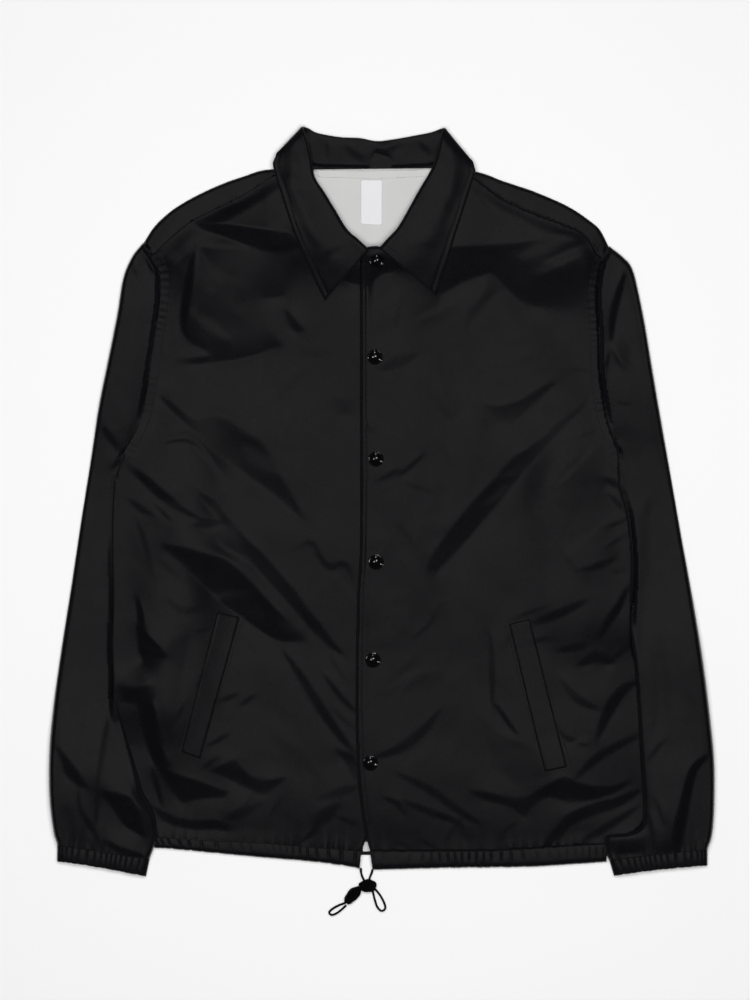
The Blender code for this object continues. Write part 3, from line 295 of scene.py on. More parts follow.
# Narrow creases: steepness, width in their middle, and their points' x and y by turns
CREASES_RIGHT = (
    (0.12, 5, 168, 238, 182, 230, 196, 223),
    (0.36, 8, 196, 248, 192, 262, 189, 281, 185, 306, 183, 328, 188, 337, 206, 344),
    (0.12, 12, 200, 250, 204, 280, 196, 320), (-0.07, 4, 164, 368, 206, 366, 248, 360, 284, 346),
    (0.30, 3, 161, 362, 168, 357, 178, 351), (0.045, 14, 264, 408, 286, 388, 308, 366),
    (0.22, 6, 157, 394, 170, 406, 184, 419, 204, 436),
    (0.20, 6, 158, 454, 165, 444, 184, 440, 198, 446, 210, 462, 226, 482),
    (0.14, 4, 155, 414, 166, 424, 174, 430), (0.15, 3, 154, 504, 164, 513, 174, 523),
    (0.13, 7, 127, 498, 140, 508, 156, 517), (0.09, 5, 136, 518, 146, 546, 154, 584),
    (0.07, 6, 159, 558, 172, 572, 188, 585), (0.09, 9, 166, 598, 184, 611, 206, 607),
    (0.15, 6, 295, 550, 312, 542, 320, 557, 330, 568, 346, 564, 357, 598),
    (0.185, 10, 282, 650, 300, 675, 319, 706, 341, 737, 358, 756), (0.12, 3, 323, 642, 333, 661, 348, 686),
    (0.16, 6, 322, 672, 341, 697, 358, 714), (0.11, 3, 330, 705, 342, 718, 357, 730),
    (0.34, 5, 136, 596, 141, 619, 139, 656), (0.15, 4, 206, 747, 217, 741, 230, 733),
    (0.13, 5, 219, 701, 228, 698, 238, 693), (0.16, 4, 240, 706, 248, 700, 256, 694),
    (0.13, 3, 196, 632, 203, 630, 210, 629), (0.13, 4, 202, 770, 209, 764, 218, 757),
    (0.24, 4, 152, 768, 158, 790, 163, 808), (0.22, 3, 297, 846, 306, 838, 317, 829),
    (0.11, 3, 336, 816, 346, 820, 357, 826), (0.07, 10, 318, 799, 336, 794, 358, 786),
    (0.06, 8, 298, 750, 308, 764, 318, 778), (-0.06, 5, 232, 640, 262, 652, 290, 668),
    (-0.05, 6, 176, 532, 214, 548, 246, 566), (-0.05, 5, 150, 430, 166, 436, 190, 432),
    (0.14, 3, 170, 726, 178, 716, 186, 700), (0.10, 3, 196, 690, 204, 676, 208, 660),
    (0.10, 3, 163, 700, 166, 720, 170, 744), (0.08, 4, 242, 828, 246, 806, 258, 784),
    (0.07, 4, 268, 834, 272, 812, 284, 796), (0.10, 3, 150, 300, 158, 318, 162, 338),
    (0.08, 5, 212, 186, 236, 200, 250, 216), (-0.06, 6, 204, 212, 240, 206, 268, 192),
    (0.07, 7, 262, 190, 266, 210, 270, 226),
)
CREASES_LEFT = (
    (-0.05, 6, 414, 320, 450, 303, 488, 275), (0.13, 3, 395, 330, 398, 312, 401, 293),
    (-0.06, 4, 374, 306, 382, 296, 393, 287), (0.085, 12, 380, 370, 398, 362, 418, 354),
    (-0.05, 3, 380, 384, 396, 398, 412, 416), (0.06, 10, 424, 384, 436, 400, 450, 420),
    (0.13, 4, 566, 327, 577, 337, 588, 350), (0.16, 3, 571, 340, 579, 347, 588, 357),
    (0.17, 4, 571, 369, 581, 369, 592, 374), (0.11, 3, 574, 324, 582, 329, 590, 337),
    (0.12, 3, 575, 356, 583, 359, 591, 365), (0.11, 3, 558, 312, 572, 320, 586, 326),
    (0.14, 5, 576, 438, 585, 435, 595, 431), (0.09, 2.5, 552, 484, 568, 468, 584, 452),
    (0.26, 8, 604, 479, 612, 482, 621, 489), (0.24, 6, 607, 492, 616, 501, 628, 513),
    (0.14, 5, 604, 528, 618, 523, 631, 516), (0.12, 4, 606, 548, 618, 540, 631, 533),
    (0.12, 6, 377, 481, 388, 476, 400, 469), (0.14, 5, 397, 477, 410, 467, 425, 453),
    (0.09, 3, 401, 481, 416, 487, 434, 493), (0.12, 4, 364, 420, 368, 427, 374, 434),
    (-0.05, 7, 560, 558, 588, 536, 614, 514), (0.14, 7, 578, 570, 596, 567, 617, 557),
    (0.08, 6, 561, 550, 572, 566, 583, 584), (0.14, 8, 532, 624, 560, 613, 587, 600),
    (0.18, 7, 628, 585, 621, 603, 608, 622, 600, 638), (0.30, 4, 630, 584, 624, 596, 616, 612),
    (0.12, 6, 557, 651, 571, 648, 586, 645), (0.15, 10, 561, 678, 576, 698, 600, 710),
    (0.19, 10, 596, 741, 608, 712, 622, 691, 640, 680), (0.14, 6, 553, 717, 564, 736, 590, 747),
    (-0.08, 4, 566, 748, 586, 738, 600, 744), (0.15, 8, 574, 780, 593, 761, 613, 748, 640, 735),
    (0.19, 11, 557, 852, 563, 826, 588, 811, 620, 801, 642, 789), (0.15, 8, 532, 864, 549, 842, 568, 818),
    (0.14, 7, 574, 846, 596, 834, 620, 819, 640, 805), (0.16, 9, 490, 630, 492, 669, 492, 709),
    (0.30, 4, 495, 703, 505, 718, 518, 736), (0.07, 8, 496, 735, 516, 744, 536, 753),
    (0.12, 10, 373, 758, 401, 748, 426, 728, 440, 709), (0.12, 8, 395, 772, 430, 790, 459, 811, 482, 825),
    (0.14, 5, 382, 797, 398, 804, 406, 817), (0.14, 6, 403, 801, 438, 815, 459, 824, 468, 844),
    (0.20, 3, 400, 841, 405, 847, 410, 854), (0.16, 3, 420, 839, 432, 846, 443, 853),
    (0.16, 3, 507, 634, 506, 642, 507, 650), (-0.05, 5, 384, 692, 410, 674, 440, 668),
    (0.06, 4, 400, 700, 412, 684, 430, 676), (0.06, 4, 410, 640, 430, 624, 444, 600),
    (0.07, 4, 562, 474, 548, 494, 526, 520), (-0.05, 6, 600, 440, 580, 462, 556, 486),
    (0.05, 8, 500, 350, 520, 340, 556, 346), (0.05, 8, 440, 440, 452, 470, 448, 500),
    (0.06, 5, 394, 520, 410, 540, 416, 566), (0.10, 4, 528, 646, 538, 640, 550, 638),
    (0.10, 3, 512, 620, 530, 612, 548, 606), (0.10, 4, 600, 562, 614, 572, 628, 570),
    (0.12, 4, 610, 660, 622, 652, 632, 640), (0.08, 4, 446, 846, 452, 830, 466, 816),
    (0.08, 4, 498, 848, 504, 832, 520, 820), (0.07, 7, 482, 196, 500, 212, 528, 224),
)
CREASES_SLEEVE_RIGHT = (
    (0.40, 6, 145, 249, 149, 261, 156, 276), (0.34, 4, 131, 260, 133, 267, 136, 277),
    (0.08, 10, 139, 310, 137, 370, 132, 424), (0.17, 7, 99, 421, 110, 437, 122, 454),
    (0.34, 4, 112, 470, 120, 458, 127, 448), (0.45, 4, 115, 694, 127, 718, 134, 747, 140, 786),
    (0.16, 5, 112, 704, 105, 737, 102, 778), (0.16, 4, 118, 724, 121, 731, 124, 739),
    (0.16, 6, 104, 730, 98, 780, 96, 828), (0.17, 5, 78, 785, 81, 811, 95, 833, 101, 851),
    (0.28, 6, 106, 840, 119, 850, 146, 858), (0.12, 4, 70, 812, 72, 828, 76, 846),
    (0.12, 4, 60, 824, 62, 836, 64, 847), (0.12, 4, 88, 838, 91, 844, 92, 851),
    (0.06, 12, 118, 300, 106, 380, 96, 440), (0.05, 14, 84, 540, 78, 620, 68, 690),
    (0.05, 8, 96, 480, 92, 540, 86, 580), (0.14, 4, 132, 800, 142, 812, 150, 830),
    (-0.06, 5, 88, 700, 80, 740, 72, 760),
)
CREASES_SLEEVE_LEFT = (
    (0.40, 6, 626, 270, 618, 296, 613, 318, 611, 342), (0.17, 6, 611, 346, 604, 378, 605, 416),
    (0.17, 5, 611, 346, 616, 358, 624, 370), (0.10, 4, 618, 402, 624, 403, 630, 405),
    (0.09, 8, 650, 500, 642, 540, 640, 594, 637, 650), (0.34, 8, 709, 755, 694, 768, 686, 796, 677, 848),
    (0.14, 6, 665, 738, 656, 750, 647, 763), (0.22, 5, 647, 811, 652, 832, 654, 852),
    (0.17, 4, 656, 798, 660, 812, 664, 826), (0.14, 4, 640, 812, 648, 822, 652, 838),
    (0.12, 4, 692, 826, 691, 838, 692, 849), (0.12, 4, 702, 830, 701, 840, 702, 849),
    (0.12, 4, 664, 838, 663, 846, 662, 853), (0.06, 12, 640, 320, 652, 400, 662, 470),
    (0.05, 12, 664, 560, 676, 640, 690, 710), (0.06, 8, 652, 640, 656, 700, 652, 740),
    (0.08, 5, 694, 690, 698, 722, 702, 750), (-0.05, 6, 672, 690, 676, 730, 672, 770),
)
CREASES_COLLAR = (
    (0.10, 6, 296, 150, 300, 170, 306, 190), (0.09, 8, 290, 178, 302, 186, 312, 184),
    (0.07, 8, 306, 214, 318, 206, 328, 208), (0.08, 5, 300, 224, 312, 240, 318, 256),
    (-0.06, 6, 312, 246, 328, 256, 346, 252), (0.07, 7, 320, 262, 330, 252, 344, 248),
    (0.09, 5, 414, 214, 430, 206, 446, 212), (0.08, 6, 436, 176, 444, 190, 456, 196),
    (0.07, 7, 410, 250, 424, 244, 440, 248), (-0.05, 6, 420, 226, 436, 230, 448, 224),
    (0.34, 9, 372, 142, 380, 152, 392, 158), (0.26, 9, 384, 150, 396, 144, 404, 140),
    (0.16, 9, 344, 140, 352, 152, 364, 160), (0.20, 6, 324, 138, 328, 150, 326, 162),
    (0.24, 6, 418, 138, 424, 148, 432, 152), (0.16, 4, 304, 132, 309, 146, 313, 160),
    (0.14, 4, 442, 134, 438, 148, 435, 160), (-0.08, 6, 352, 146, 368, 150, 380, 144),
)


def chart(points: Chain) -> np.ndarray:
    """The points as an array of x and y."""
    return np.asarray(points, float)


def pairs(numbers: Sequence[float]) -> np.ndarray:
    """Points from their x and y by turns."""
    return chart(numbers).reshape(-1, 2)


def in_metres(points: np.ndarray, heights: np.ndarray) -> np.ndarray:
    """Chart points and their heights as places in the row frame.

    Args:
        points: Chart x and y, a row for each point.
        heights: Heights in metres.

    Returns:
        An array of x, y and z in metres.
    """
    across = (points[:, 0] - CHART_CENTRE_X) * UNIT
    up = (CHART_CENTRE_Y - points[:, 1]) * UNIT
    return np.column_stack((across, up, heights))


def on_chart(places: np.ndarray) -> np.ndarray:
    """The chart points of places in metres."""
    return np.column_stack((places[:, 0] / UNIT + CHART_CENTRE_X, CHART_CENTRE_Y - places[:, 1] / UNIT))


def ease(values: np.ndarray, start: float, end: float) -> np.ndarray:
    """0 at start, 1 at end and smooth between."""
    share = np.clip((values - start) / (end - start), 0.0, 1.0)
    return share * share * (3.0 - 2.0 * share)


def soft_excess(values: np.ndarray, softness: float) -> np.ndarray:
    """How far values are over zero, with a soft corner there."""
    return np.logaddexp(0.0, values / softness) * softness


def smooth_rows(given: np.ndarray, pieces: Sequence[int]) -> np.ndarray:
    """Rows of a Catmull-Rom curve.

    Args:
        given: The rows that the curve runs through.
        pieces: The number of parts in each of its stretches.

    Returns:
        The curve's rows, the first and last as given.
    """
    padded = np.vstack((2 * given[0] - given[1], given, 2 * given[-1] - given[-2]))
    result = []
    for count, before, start, end, after in zip(pieces, padded[:-3], padded[1:-2], padded[2:-1], padded[3:]):
        share = (np.arange(count) / count)[:, None]
        result.append(0.5 * (2 * start + (end - before) * share
                             + (2 * before - 5 * start + 4 * end - after) * share ** 2
                             + (3 * start - before - 3 * end + after) * share ** 3))
    return np.vstack(result + [given[-1:]])


def parts_of(runs: np.ndarray, step: float) -> list[int]:
    """How many steps go into each run, at least one."""
    return [max(1, round(float(length) / step)) for length in np.linalg.norm(runs, axis=1)]


def rounded(points: Chain, step: float) -> np.ndarray:
    """A smooth chain through points, with its own points about a step apart."""
    given = chart(points)
    return smooth_rows(given, parts_of(np.diff(given, axis=0), step))


def resampled(points: Chain, step: float) -> np.ndarray:
    """A closed outline with straight sides and close points."""
    corners = chart(points)
    runs = np.roll(corners, -1, axis=0) - corners
    return np.vstack([start + run * (np.arange(pieces) / pieces)[:, None]
                      for start, run, pieces in zip(corners, runs, parts_of(runs, step))])


def joined(*chains: np.ndarray) -> np.ndarray:
    """A closed outline from chains that follow each other, without doubled points."""
    points = np.vstack(chains)
    keep = [0]
    for index in range(1, len(points)):
        if np.linalg.norm(points[index] - points[keep[-1]]) > DOUBLED:
            keep.append(index)
    if np.linalg.norm(points[keep[-1]] - points[keep[0]]) < DOUBLED:
        keep.pop()
    return points[keep]


def length_of(chain: np.ndarray) -> float:
    """A chain's length, in the units of its points."""
    return np.linalg.norm(np.diff(chain, axis=0), axis=1).sum()


def spots_on(chain: np.ndarray, shares: np.ndarray) -> np.ndarray:
    """Points of a chain, at shares of the way through its list."""
    known = np.linspace(0, 1, len(chain))
    return np.column_stack([np.interp(shares, known, chain[:, axis]) for axis in (0, 1)])


def to_chain(points: np.ndarray, chain: np.ndarray) -> tuple[np.ndarray, np.ndarray, np.ndarray]:
    """Where points lie beside a chain.

    Args:
        points: Chart points.
        chain: The chain's points.

    Returns:
        The distance to the chain, the side, 1 on the right of its direction and -1 on the left, and the share
        of its length where it is nearest.
    """
    runs = chain[1:] - chain[:-1]
    lengths = np.linalg.norm(runs, axis=1)
    total = lengths.sum()
    best = np.full(len(points), np.inf)
    side = np.ones(len(points))
    share = np.zeros(len(points))
    passed = 0.0
    for start, run, length in zip(chain[:-1], runs, lengths):
        away = points - start
        part = np.clip(away @ run / length ** 2, 0.0, 1.0)
        gap = np.linalg.norm(away - part[:, None] * run, axis=1)
        nearer = gap < best
        best[nearer] = gap[nearer]
        cross = run[0] * away[:, 1] - run[1] * away[:, 0]
        side[nearer] = np.where(cross[nearer] >= 0, 1.0, -1.0)
        share[nearer] = (passed + part[nearer] * length) / total
        passed += length
    return best, side, share


def gap_to(points: np.ndarray, *chains: np.ndarray) -> np.ndarray:
    """The distance from points to the nearest of some chains."""
    return np.min([to_chain(points, chain)[0] for chain in chains], axis=0)


def is_inside(points: np.ndarray, outline: np.ndarray) -> np.ndarray:
    """Which points are inside a closed outline."""
    result = np.zeros(len(points), bool)
    for (xa, ya), (xb, yb) in zip(outline, np.roll(outline, -1, axis=0)):
        crosses = (ya > points[:, 1]) != (yb > points[:, 1])
        if ya != yb:
            at = (xb - xa) * (points[:, 1] - ya) / (yb - ya) + xa
            result ^= crosses & (points[:, 0] < at)
    return result


def ring_of(outline: np.ndarray) -> np.ndarray:
    """The outline as a chain that ends where it starts."""
    return np.vstack((outline, outline[:1]))


def depth_in(points: np.ndarray, outline: np.ndarray) -> np.ndarray:
    """How far points are inside an outline, negative outside."""
    gap = gap_to(points, ring_of(outline))
    return np.where(is_inside(points, outline), gap, -gap)


def area_of(outline: np.ndarray) -> float:
    """The area inside an outline in square metres."""
    x, y = outline[:, 0], outline[:, 1]
    return 0.5 * abs(float(np.dot(x, np.roll(y, -1)) - np.dot(y, np.roll(x, -1)))) * UNIT ** 2


def waves(points: np.ndarray, seed: float) -> np.ndarray:
    """Broad, low unevenness of cloth that has been smoothed out by hand.

    Args:
        points: Chart points.
        seed: Where the pattern starts.

    Returns:
        Heights from -1 to 1.
    """
    x, y = points[:, 0], points[:, 1]
    total = np.zeros(len(points))
    for number, (size, share) in enumerate(WAVE_SIZES):
        turn = seed + 1.7 * number
        along = (x * math.cos(turn) + y * math.sin(turn)) / size
        across = (y * math.cos(turn * 1.3) - x * math.sin(turn * 1.3)) / (size * 1.4)
        total += share * np.sin(along * 2 + 1.8 * np.sin(across + seed)) * np.cos(across * 1.7 + seed * 2)
    return total


@dataclass(frozen=True)
class Relief:
    """A solid's top or underside, read on a grid and smoothed.

    Attributes:
        low: The grid's lowest chart x and y.
        pitch: The grid's spacing in chart units.
        heights: Heights in metres, a row for each y.
    """

    low: tuple[float, float]
    pitch: float
    heights: np.ndarray

    @staticmethod
    def of_node(name: str, blur: float = 1.2, pitch: float = 6.0, under: bool = False) -> "Relief":
        """Reads a node of the frame.

        Args:
            name: The node.
            blur: The smoothing's reach, in grid cells.
            pitch: The grid's spacing.
            under: Whether the underside is read and not the top.

        Returns:
            The node's relief.
        """
        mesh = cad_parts[name].data
        places = [vert.co.copy() for vert in mesh.vertices]
        tree = BVHTree.FromPolygons(places, [tuple(face.vertices) for face in mesh.polygons])
        xs = [place.x / UNIT + CHART_CENTRE_X for place in places]
        ys = [CHART_CENTRE_Y - place.y / UNIT for place in places]
        low = (min(xs), min(ys))
        columns = int((max(xs) - low[0]) / pitch) + 2
        rows = int((max(ys) - low[1]) / pitch) + 2
        heights = np.full((rows, columns), np.nan)
        start = -1.0 if under else 1.0
        for row in range(rows):
            for column in range(columns):
                x = (low[0] + column * pitch - CHART_CENTRE_X) * UNIT
                y = (CHART_CENTRE_Y - low[1] - row * pitch) * UNIT
                spot = tree.ray_cast(Vector((x, y, start)), Vector((0, 0, -start)))[0]
                if spot is not None:
                    heights[row, column] = spot.z
        return Relief(low, pitch, Relief.smoothed(Relief.filled(heights), blur))

    @staticmethod
    def filled(heights: np.ndarray) -> np.ndarray:
        """The grid with its empty cells taken from their neighbours."""
        heights = heights.copy()
        while np.isnan(heights).any():
            around = np.pad(heights, 1, constant_values=np.nan)
            stack = np.stack([around[1 + dy:around.shape[0] - 1 + dy, 1 + dx:around.shape[1] - 1 + dx]
                              for dx, dy in ((1, 0), (-1, 0), (0, 1), (0, -1))])
            known = ~np.isnan(stack)
            count = known.sum(axis=0)
            mean = np.where(known, stack, 0.0).sum(axis=0) / np.maximum(count, 1)
            empty = np.isnan(heights) & (count > 0)
            heights[empty] = mean[empty]
        return heights

    @staticmethod
    def smoothed(heights: np.ndarray, blur: float) -> np.ndarray:
        """The grid with each cell averaged with those round it."""
        if blur <= 0:
            return heights
        reach = max(1, round(blur * 2.5))
        kernel = np.exp(-0.5 * (np.arange(-reach, reach + 1) / blur) ** 2)
        kernel /= kernel.sum()
        for axis in (0, 1):
            wide = np.pad(heights, [(reach, reach) if a == axis else (0, 0) for a in (0, 1)], mode="edge")
            heights = np.apply_along_axis(lambda line: np.convolve(line, kernel, "valid"), axis, wide)
        return heights

    def at(self, points: np.ndarray) -> np.ndarray:
        """The heights at chart points."""
        rows, columns = self.heights.shape
        x = np.clip((points[:, 0] - self.low[0]) / self.pitch, 0, columns - 1.001)
        y = np.clip((points[:, 1] - self.low[1]) / self.pitch, 0, rows - 1.001)
        column, row = x.astype(int), y.astype(int)
        dx, dy = x - column, y - row
        upper = self.heights[row, column] * (1 - dx) + self.heights[row, column + 1] * dx
        lower = self.heights[row + 1, column] * (1 - dx) + self.heights[row + 1, column + 1] * dx
        return upper * (1 - dy) + lower * dy


@dataclass
class Slopes:
    """Slopes laid out on a chart grid, gathered into one relief."""

    low: tuple[float, float]
    size: tuple[int, int]
    reach: float = 120.0
    # A facet leans across its long side where its spread along it is this many times the other
    slender: float = 2.6
    facet_pull: float = 0.4  # How far a facet's uphill side is drawn towards the collar
    # A facet's steepness against its row's: the least, and what a round one gains
    facet_gain: tuple[float, float] = (1.15, 1.3)
    crease_pull: float = 0.35  # How far a crease's uphill side is drawn towards the collar
    turn: float = 24.0
    half: tuple[float, float] = (8.0, 30.0)
    bow: float = 2.5
    width: tuple[float, float] = (6.0, 16.0)
    cover: float = 0.55
    soft: float = 0.4

    def __post_init__(self) -> None:
        """Starts with flat cloth."""
        self.rise = np.zeros((2, self.size[1], self.size[0]))

    def window(self, shape: np.ndarray, margin: float) -> tuple[slice, slice, np.ndarray]:
        """The rows and columns of the cells round a shape, and their chart points.

        Args:
            shape: The shape's points.
            margin: How far beyond it the cells go.

        Returns:
            The rows, the columns and the points.
        """
        low, high = shape.min(axis=0) - margin, shape.max(axis=0) + margin
        x0, y0 = (max(0, int(low[axis] - self.low[axis])) for axis in (0, 1))
        x1, y1 = (min(self.size[axis], int(high[axis] - self.low[axis]) + 1) for axis in (0, 1))
        xs, ys = np.meshgrid(np.arange(x0, x1) + self.low[0], np.arange(y0, y1) + self.low[1])
        return slice(y0, y1), slice(x0, x1), np.column_stack((xs.ravel(), ys.ravel())).astype(float)

    def lay(self, rows: slice, columns: slice, cover: np.ndarray, uphill: np.ndarray) -> None:
        """Leans the covered cells uphill, in place of what they had.

        Args:
            rows: The cells' rows.
            columns: The cells' columns.
            cover: How much each cell is covered, 0 to 1.
            uphill: The slope along x and y.
        """
        for axis in (0, 1):
            cells = self.rise[axis, rows, columns]
            cells += cover.reshape(cells.shape) * (uphill[axis] * UNIT - cells)

    @staticmethod
    def leaning(across: np.ndarray, pull: float, steep: float) -> np.ndarray:
        """A slope across a shape, its uphill side turned and drawn towards the collar."""
        uphill = (across if across[1] < 0 else -across) + np.array([0.0, -pull])
        return uphill * (steep / np.linalg.norm(uphill))

    def facet(self, steep: float, soft: float, outline: Chain) -> None:
        """Leans the cloth inside an outline across the outline's long side.

        Args:
            steep: The steepness.
            soft: The softness of the facet's edge.
            outline: Its outline.
        """
        ring = chart(outline)
        rows, columns, points = self.window(ring, soft)
        if not len(points):
            return
        away = ring - ring.mean(axis=0)
        spread, axes = np.linalg.eigh(away.T @ away)
        across = axes[:, 0] if spread[1] > self.slender * spread[0] else np.array([0.0, -1.0])
        least, gained = self.facet_gain
        steep *= least + gained * math.sqrt(max(spread[0], 0.0) / spread[1])
        self.lay(rows, columns, ease(depth_in(points, ring), -soft, soft),
                 self.leaning(across, self.facet_pull, steep))

    def crease(self, steep: float, width: float, row: Chain, cover: float = 1.0, soft: float = 0.08) -> None:
        """Leans the cloth along a narrow lens, across its run.

        Args:
            steep: The steepness.
            width: The lens's width in its middle.
            row: Points along its middle line.
            cover: How much of the slope that is there it replaces.
            soft: The softness of its edges, as a share of its width.
        """
        line = rounded(row, 5.0)
        rows, columns, points = self.window(line, (0.5 + soft) * width + 2.5)
        if not len(points):
            return
        gap, _, share = to_chain(points, line)
        half = 0.5 * width * np.sin(math.pi * np.clip(share, 0.0, 1.0)) ** 0.6
        run = line[-1] - line[0]
        across = np.array([run[1], -run[0]]) / np.linalg.norm(run)
        edge = 0.8 + soft * width
        self.lay(rows, columns, ease(half - gap, -edge, edge) * ease(half, 0.0, 0.8) * cover,
                 self.leaning(across, self.crease_pull, steep))

    def crumple(self, count: int, seed: int, heading: float, steep: float) -> None:
        """Scatters small creases that run along one heading.

        Args:
            count: How many there are.
            seed: The seed of their places.
            heading: Their heading in degrees.
            steep: Their steepness.
        """
        chance = np.random.default_rng(seed)
        for _ in range(count):
            middle = chance.uniform((0, 0), self.size) + self.low
            turn = math.radians(heading + chance.normal(0.0, self.turn))
            half = chance.uniform(*self.half) * np.array([math.cos(turn), math.sin(turn)])
            bow = chance.normal(0.0, self.bow, 2)
            self.crease(steep * chance.normal(0.0, 1.0), chance.uniform(*self.width),
                        (middle - half, middle + bow, middle + half), self.cover, self.soft)

    def relief(self) -> Relief:
        """The height field whose slopes fit best, settled so that far parts don't lift."""
        rows, columns = self.rise.shape[1:]
        across = 2 * math.pi * np.fft.fftfreq(columns)[None, :]
        down = 2 * math.pi * np.fft.fftfreq(rows)[:, None]
        wide, tall = (np.fft.fft2(part) for part in self.rise)
        sharp = -1j * (across * wide + down * tall) / (across ** 2 + down ** 2 + self.reach ** -2)
        return Relief(self.low, 1.0, np.fft.ifft2(sharp).real)

    @staticmethod
    def of_tables(outline: np.ndarray, facets: Sequence[tuple], creases: Sequence[tuple], crumples: int,
                  heading: float, steep: float = 0.035) -> Relief:
        """Lays out tables of facets and creases.

        Args:
            outline: The cloth's outline.
            facets: Rows of steepness, softness and the outline's x and y by turns.
            creases: Rows of steepness, width and the points' x and y by turns.
            crumples: How many small creases are scattered.
            heading: Their heading in degrees, 0 to the right and 90 down.
            steep: Their steepness.

        Returns:
            The relief in metres.
        """
        low = outline.min(axis=0) - FIELD_MARGIN
        size = np.ceil(outline.max(axis=0) + FIELD_MARGIN - low).astype(int)
        field = Slopes((float(low[0]), float(low[1])), (int(size[0]), int(size[1])))
        field.crumple(crumples, len(creases), heading, steep)
        for slope, soft, *spots in facets:
            field.facet(slope, soft, pairs(spots))
        field.crumple(crumples // 2, len(facets), heading, steep * 0.6)
        for slope, width, *spots in creases:
            field.crease(slope, width, pairs(spots))
        return field.relief()


@dataclass(frozen=True)
class Layer:
    """One layer of a finish's fine surface."""

    woven: bool
    scale: float
    strength: float
    depth: float
    detail: float = 2.0


class Weave(Enum):
    """The fine surface of a finish, as layers on top of each other."""

    TAFFETA = (Layer(False, 60.0, 0.2, 0.0005), Layer(True, 520.0, 0.05, 0.000005))
    LINING = (Layer(False, 90.0, 0.4, 0.0008, 3.0), Layer(True, 420.0, 0.5, 0.00006))
    BRAID = (Layer(True, 300.0, 1.0, 0.0003),)
    SMOOTH = ()


@dataclass(frozen=True)
class Finish:
    """One finish of the jacket."""

    name: str
    slot: str
    colour: tuple[float, float, float]
    shade: tuple[float, float, float]
    roughness: float
    spread: float
    weave: Weave
    sheen: float = 0.0
    gloss: float = 0.5  # How strongly it mirrors, 0.5 for most finishes
    clouds: tuple[float, float] = (38.0, 3.0)  # The scale and detail of the colour's pattern
    smears: tuple[float, float] = (55.0, 2.0)  # The scale and detail of the roughness's pattern

    def material(self) -> bpy.types.Material:
        """The finish as a material, made once."""
        found = bpy.data.materials.get(self.name)
        if found:
            return found
        made = bpy.data.materials.new(self.name)
        made.use_nodes = True
        tree = made.node_tree
        shader = tree.nodes["Principled BSDF"]
        shader.inputs["Sheen Weight"].default_value = self.sheen
        shader.inputs["Sheen Roughness"].default_value = 0.4
        shader.inputs["Specular IOR Level"].default_value = self.gloss
        places = tree.nodes.new("ShaderNodeTexCoord").outputs["Object"]
        tint = tree.nodes.new("ShaderNodeMix")
        tint.data_type = "RGBA"
        tint.inputs["A"].default_value = (*self.shade, 1.0)
        tint.inputs["B"].default_value = (*self.colour, 1.0)
        tree.links.new(self.noise(tree, places, *self.clouds), tint.inputs["Factor"])
        tree.links.new(tint.outputs["Result"], shader.inputs["Base Color"])
        gloss = tree.nodes.new("ShaderNodeMapRange")
        gloss.inputs["To Min"].default_value = self.roughness - self.spread
        gloss.inputs["To Max"].default_value = self.roughness + self.spread
        tree.links.new(self.noise(tree, places, *self.smears), gloss.inputs["Value"])
        tree.links.new(gloss.outputs["Result"], shader.inputs["Roughness"])
        normal = None
        for layer in self.weave.value:
            height = (self.threads(tree, places, layer.scale) if layer.woven
                      else self.noise(tree, places, layer.scale, layer.detail))
            bump = tree.nodes.new("ShaderNodeBump")
            bump.inputs["Strength"].default_value = layer.strength
            bump.inputs["Distance"].default_value = layer.depth
            tree.links.new(height, bump.inputs["Height"])
            if normal is not None:
                tree.links.new(normal, bump.inputs["Normal"])
            normal = bump.outputs["Normal"]
        if normal is not None:
            tree.links.new(normal, shader.inputs["Normal"])
        return made

    @staticmethod
    def noise(tree: bpy.types.NodeTree, places: bpy.types.NodeSocket, scale: float,
              detail: float) -> bpy.types.NodeSocket:
        """A soft random pattern."""
        node = tree.nodes.new("ShaderNodeTexNoise")
        node.inputs["Scale"].default_value = scale
        node.inputs["Detail"].default_value = detail
        tree.links.new(places, node.inputs["Vector"])
        return node.outputs["Fac"]

    @staticmethod
    def threads(tree: bpy.types.NodeTree, places: bpy.types.NodeSocket, scale: float) -> bpy.types.NodeSocket:
        """Threads that cross, as a height."""
        both = tree.nodes.new("ShaderNodeMath")
        both.operation = "MULTIPLY"
        for number, direction in enumerate(("X", "Y")):
            node = tree.nodes.new("ShaderNodeTexWave")
            node.bands_direction = direction
            node.inputs["Scale"].default_value = scale
            tree.links.new(places, node.inputs["Vector"])
            tree.links.new(node.outputs["Fac"], both.inputs[number])
        return both.outputs["Value"]


NYLON = Finish("black_nylon_taffeta", "black_nylon", (0.0034, 0.0035, 0.0044), (0.0022, 0.0022, 0.0029), 0.27,
               0.04, Weave.TAFFETA, sheen=0.003)
THREAD = Finish("black_sewing_thread", "black_nylon", (0.006, 0.006, 0.007), (0.003, 0.003, 0.0035), 0.55,
                0.05, Weave.BRAID)
PALE = Finish("pale_lining_taffeta", "pale_lining", (0.61, 0.61, 0.605), (0.56, 0.56, 0.555), 0.62, 0.06,
              Weave.LINING)
TAPE = Finish("white_label_satin", "label_cloth", (0.78, 0.78, 0.80), (0.74, 0.74, 0.76), 0.5, 0.05,
              Weave.LINING)
ENAMEL = Finish("black_snap_enamel", "snap_cap", (0.0022, 0.0022, 0.0026), (0.0014, 0.0014, 0.0018), 0.10,
                0.02, Weave.SMOOTH, gloss=0.22)
BRAID = Finish("black_braided_cord", "black_trim", (0.003, 0.003, 0.0034), (0.0015, 0.0015, 0.0018), 0.8,
               0.05, Weave.BRAID, gloss=0.12)


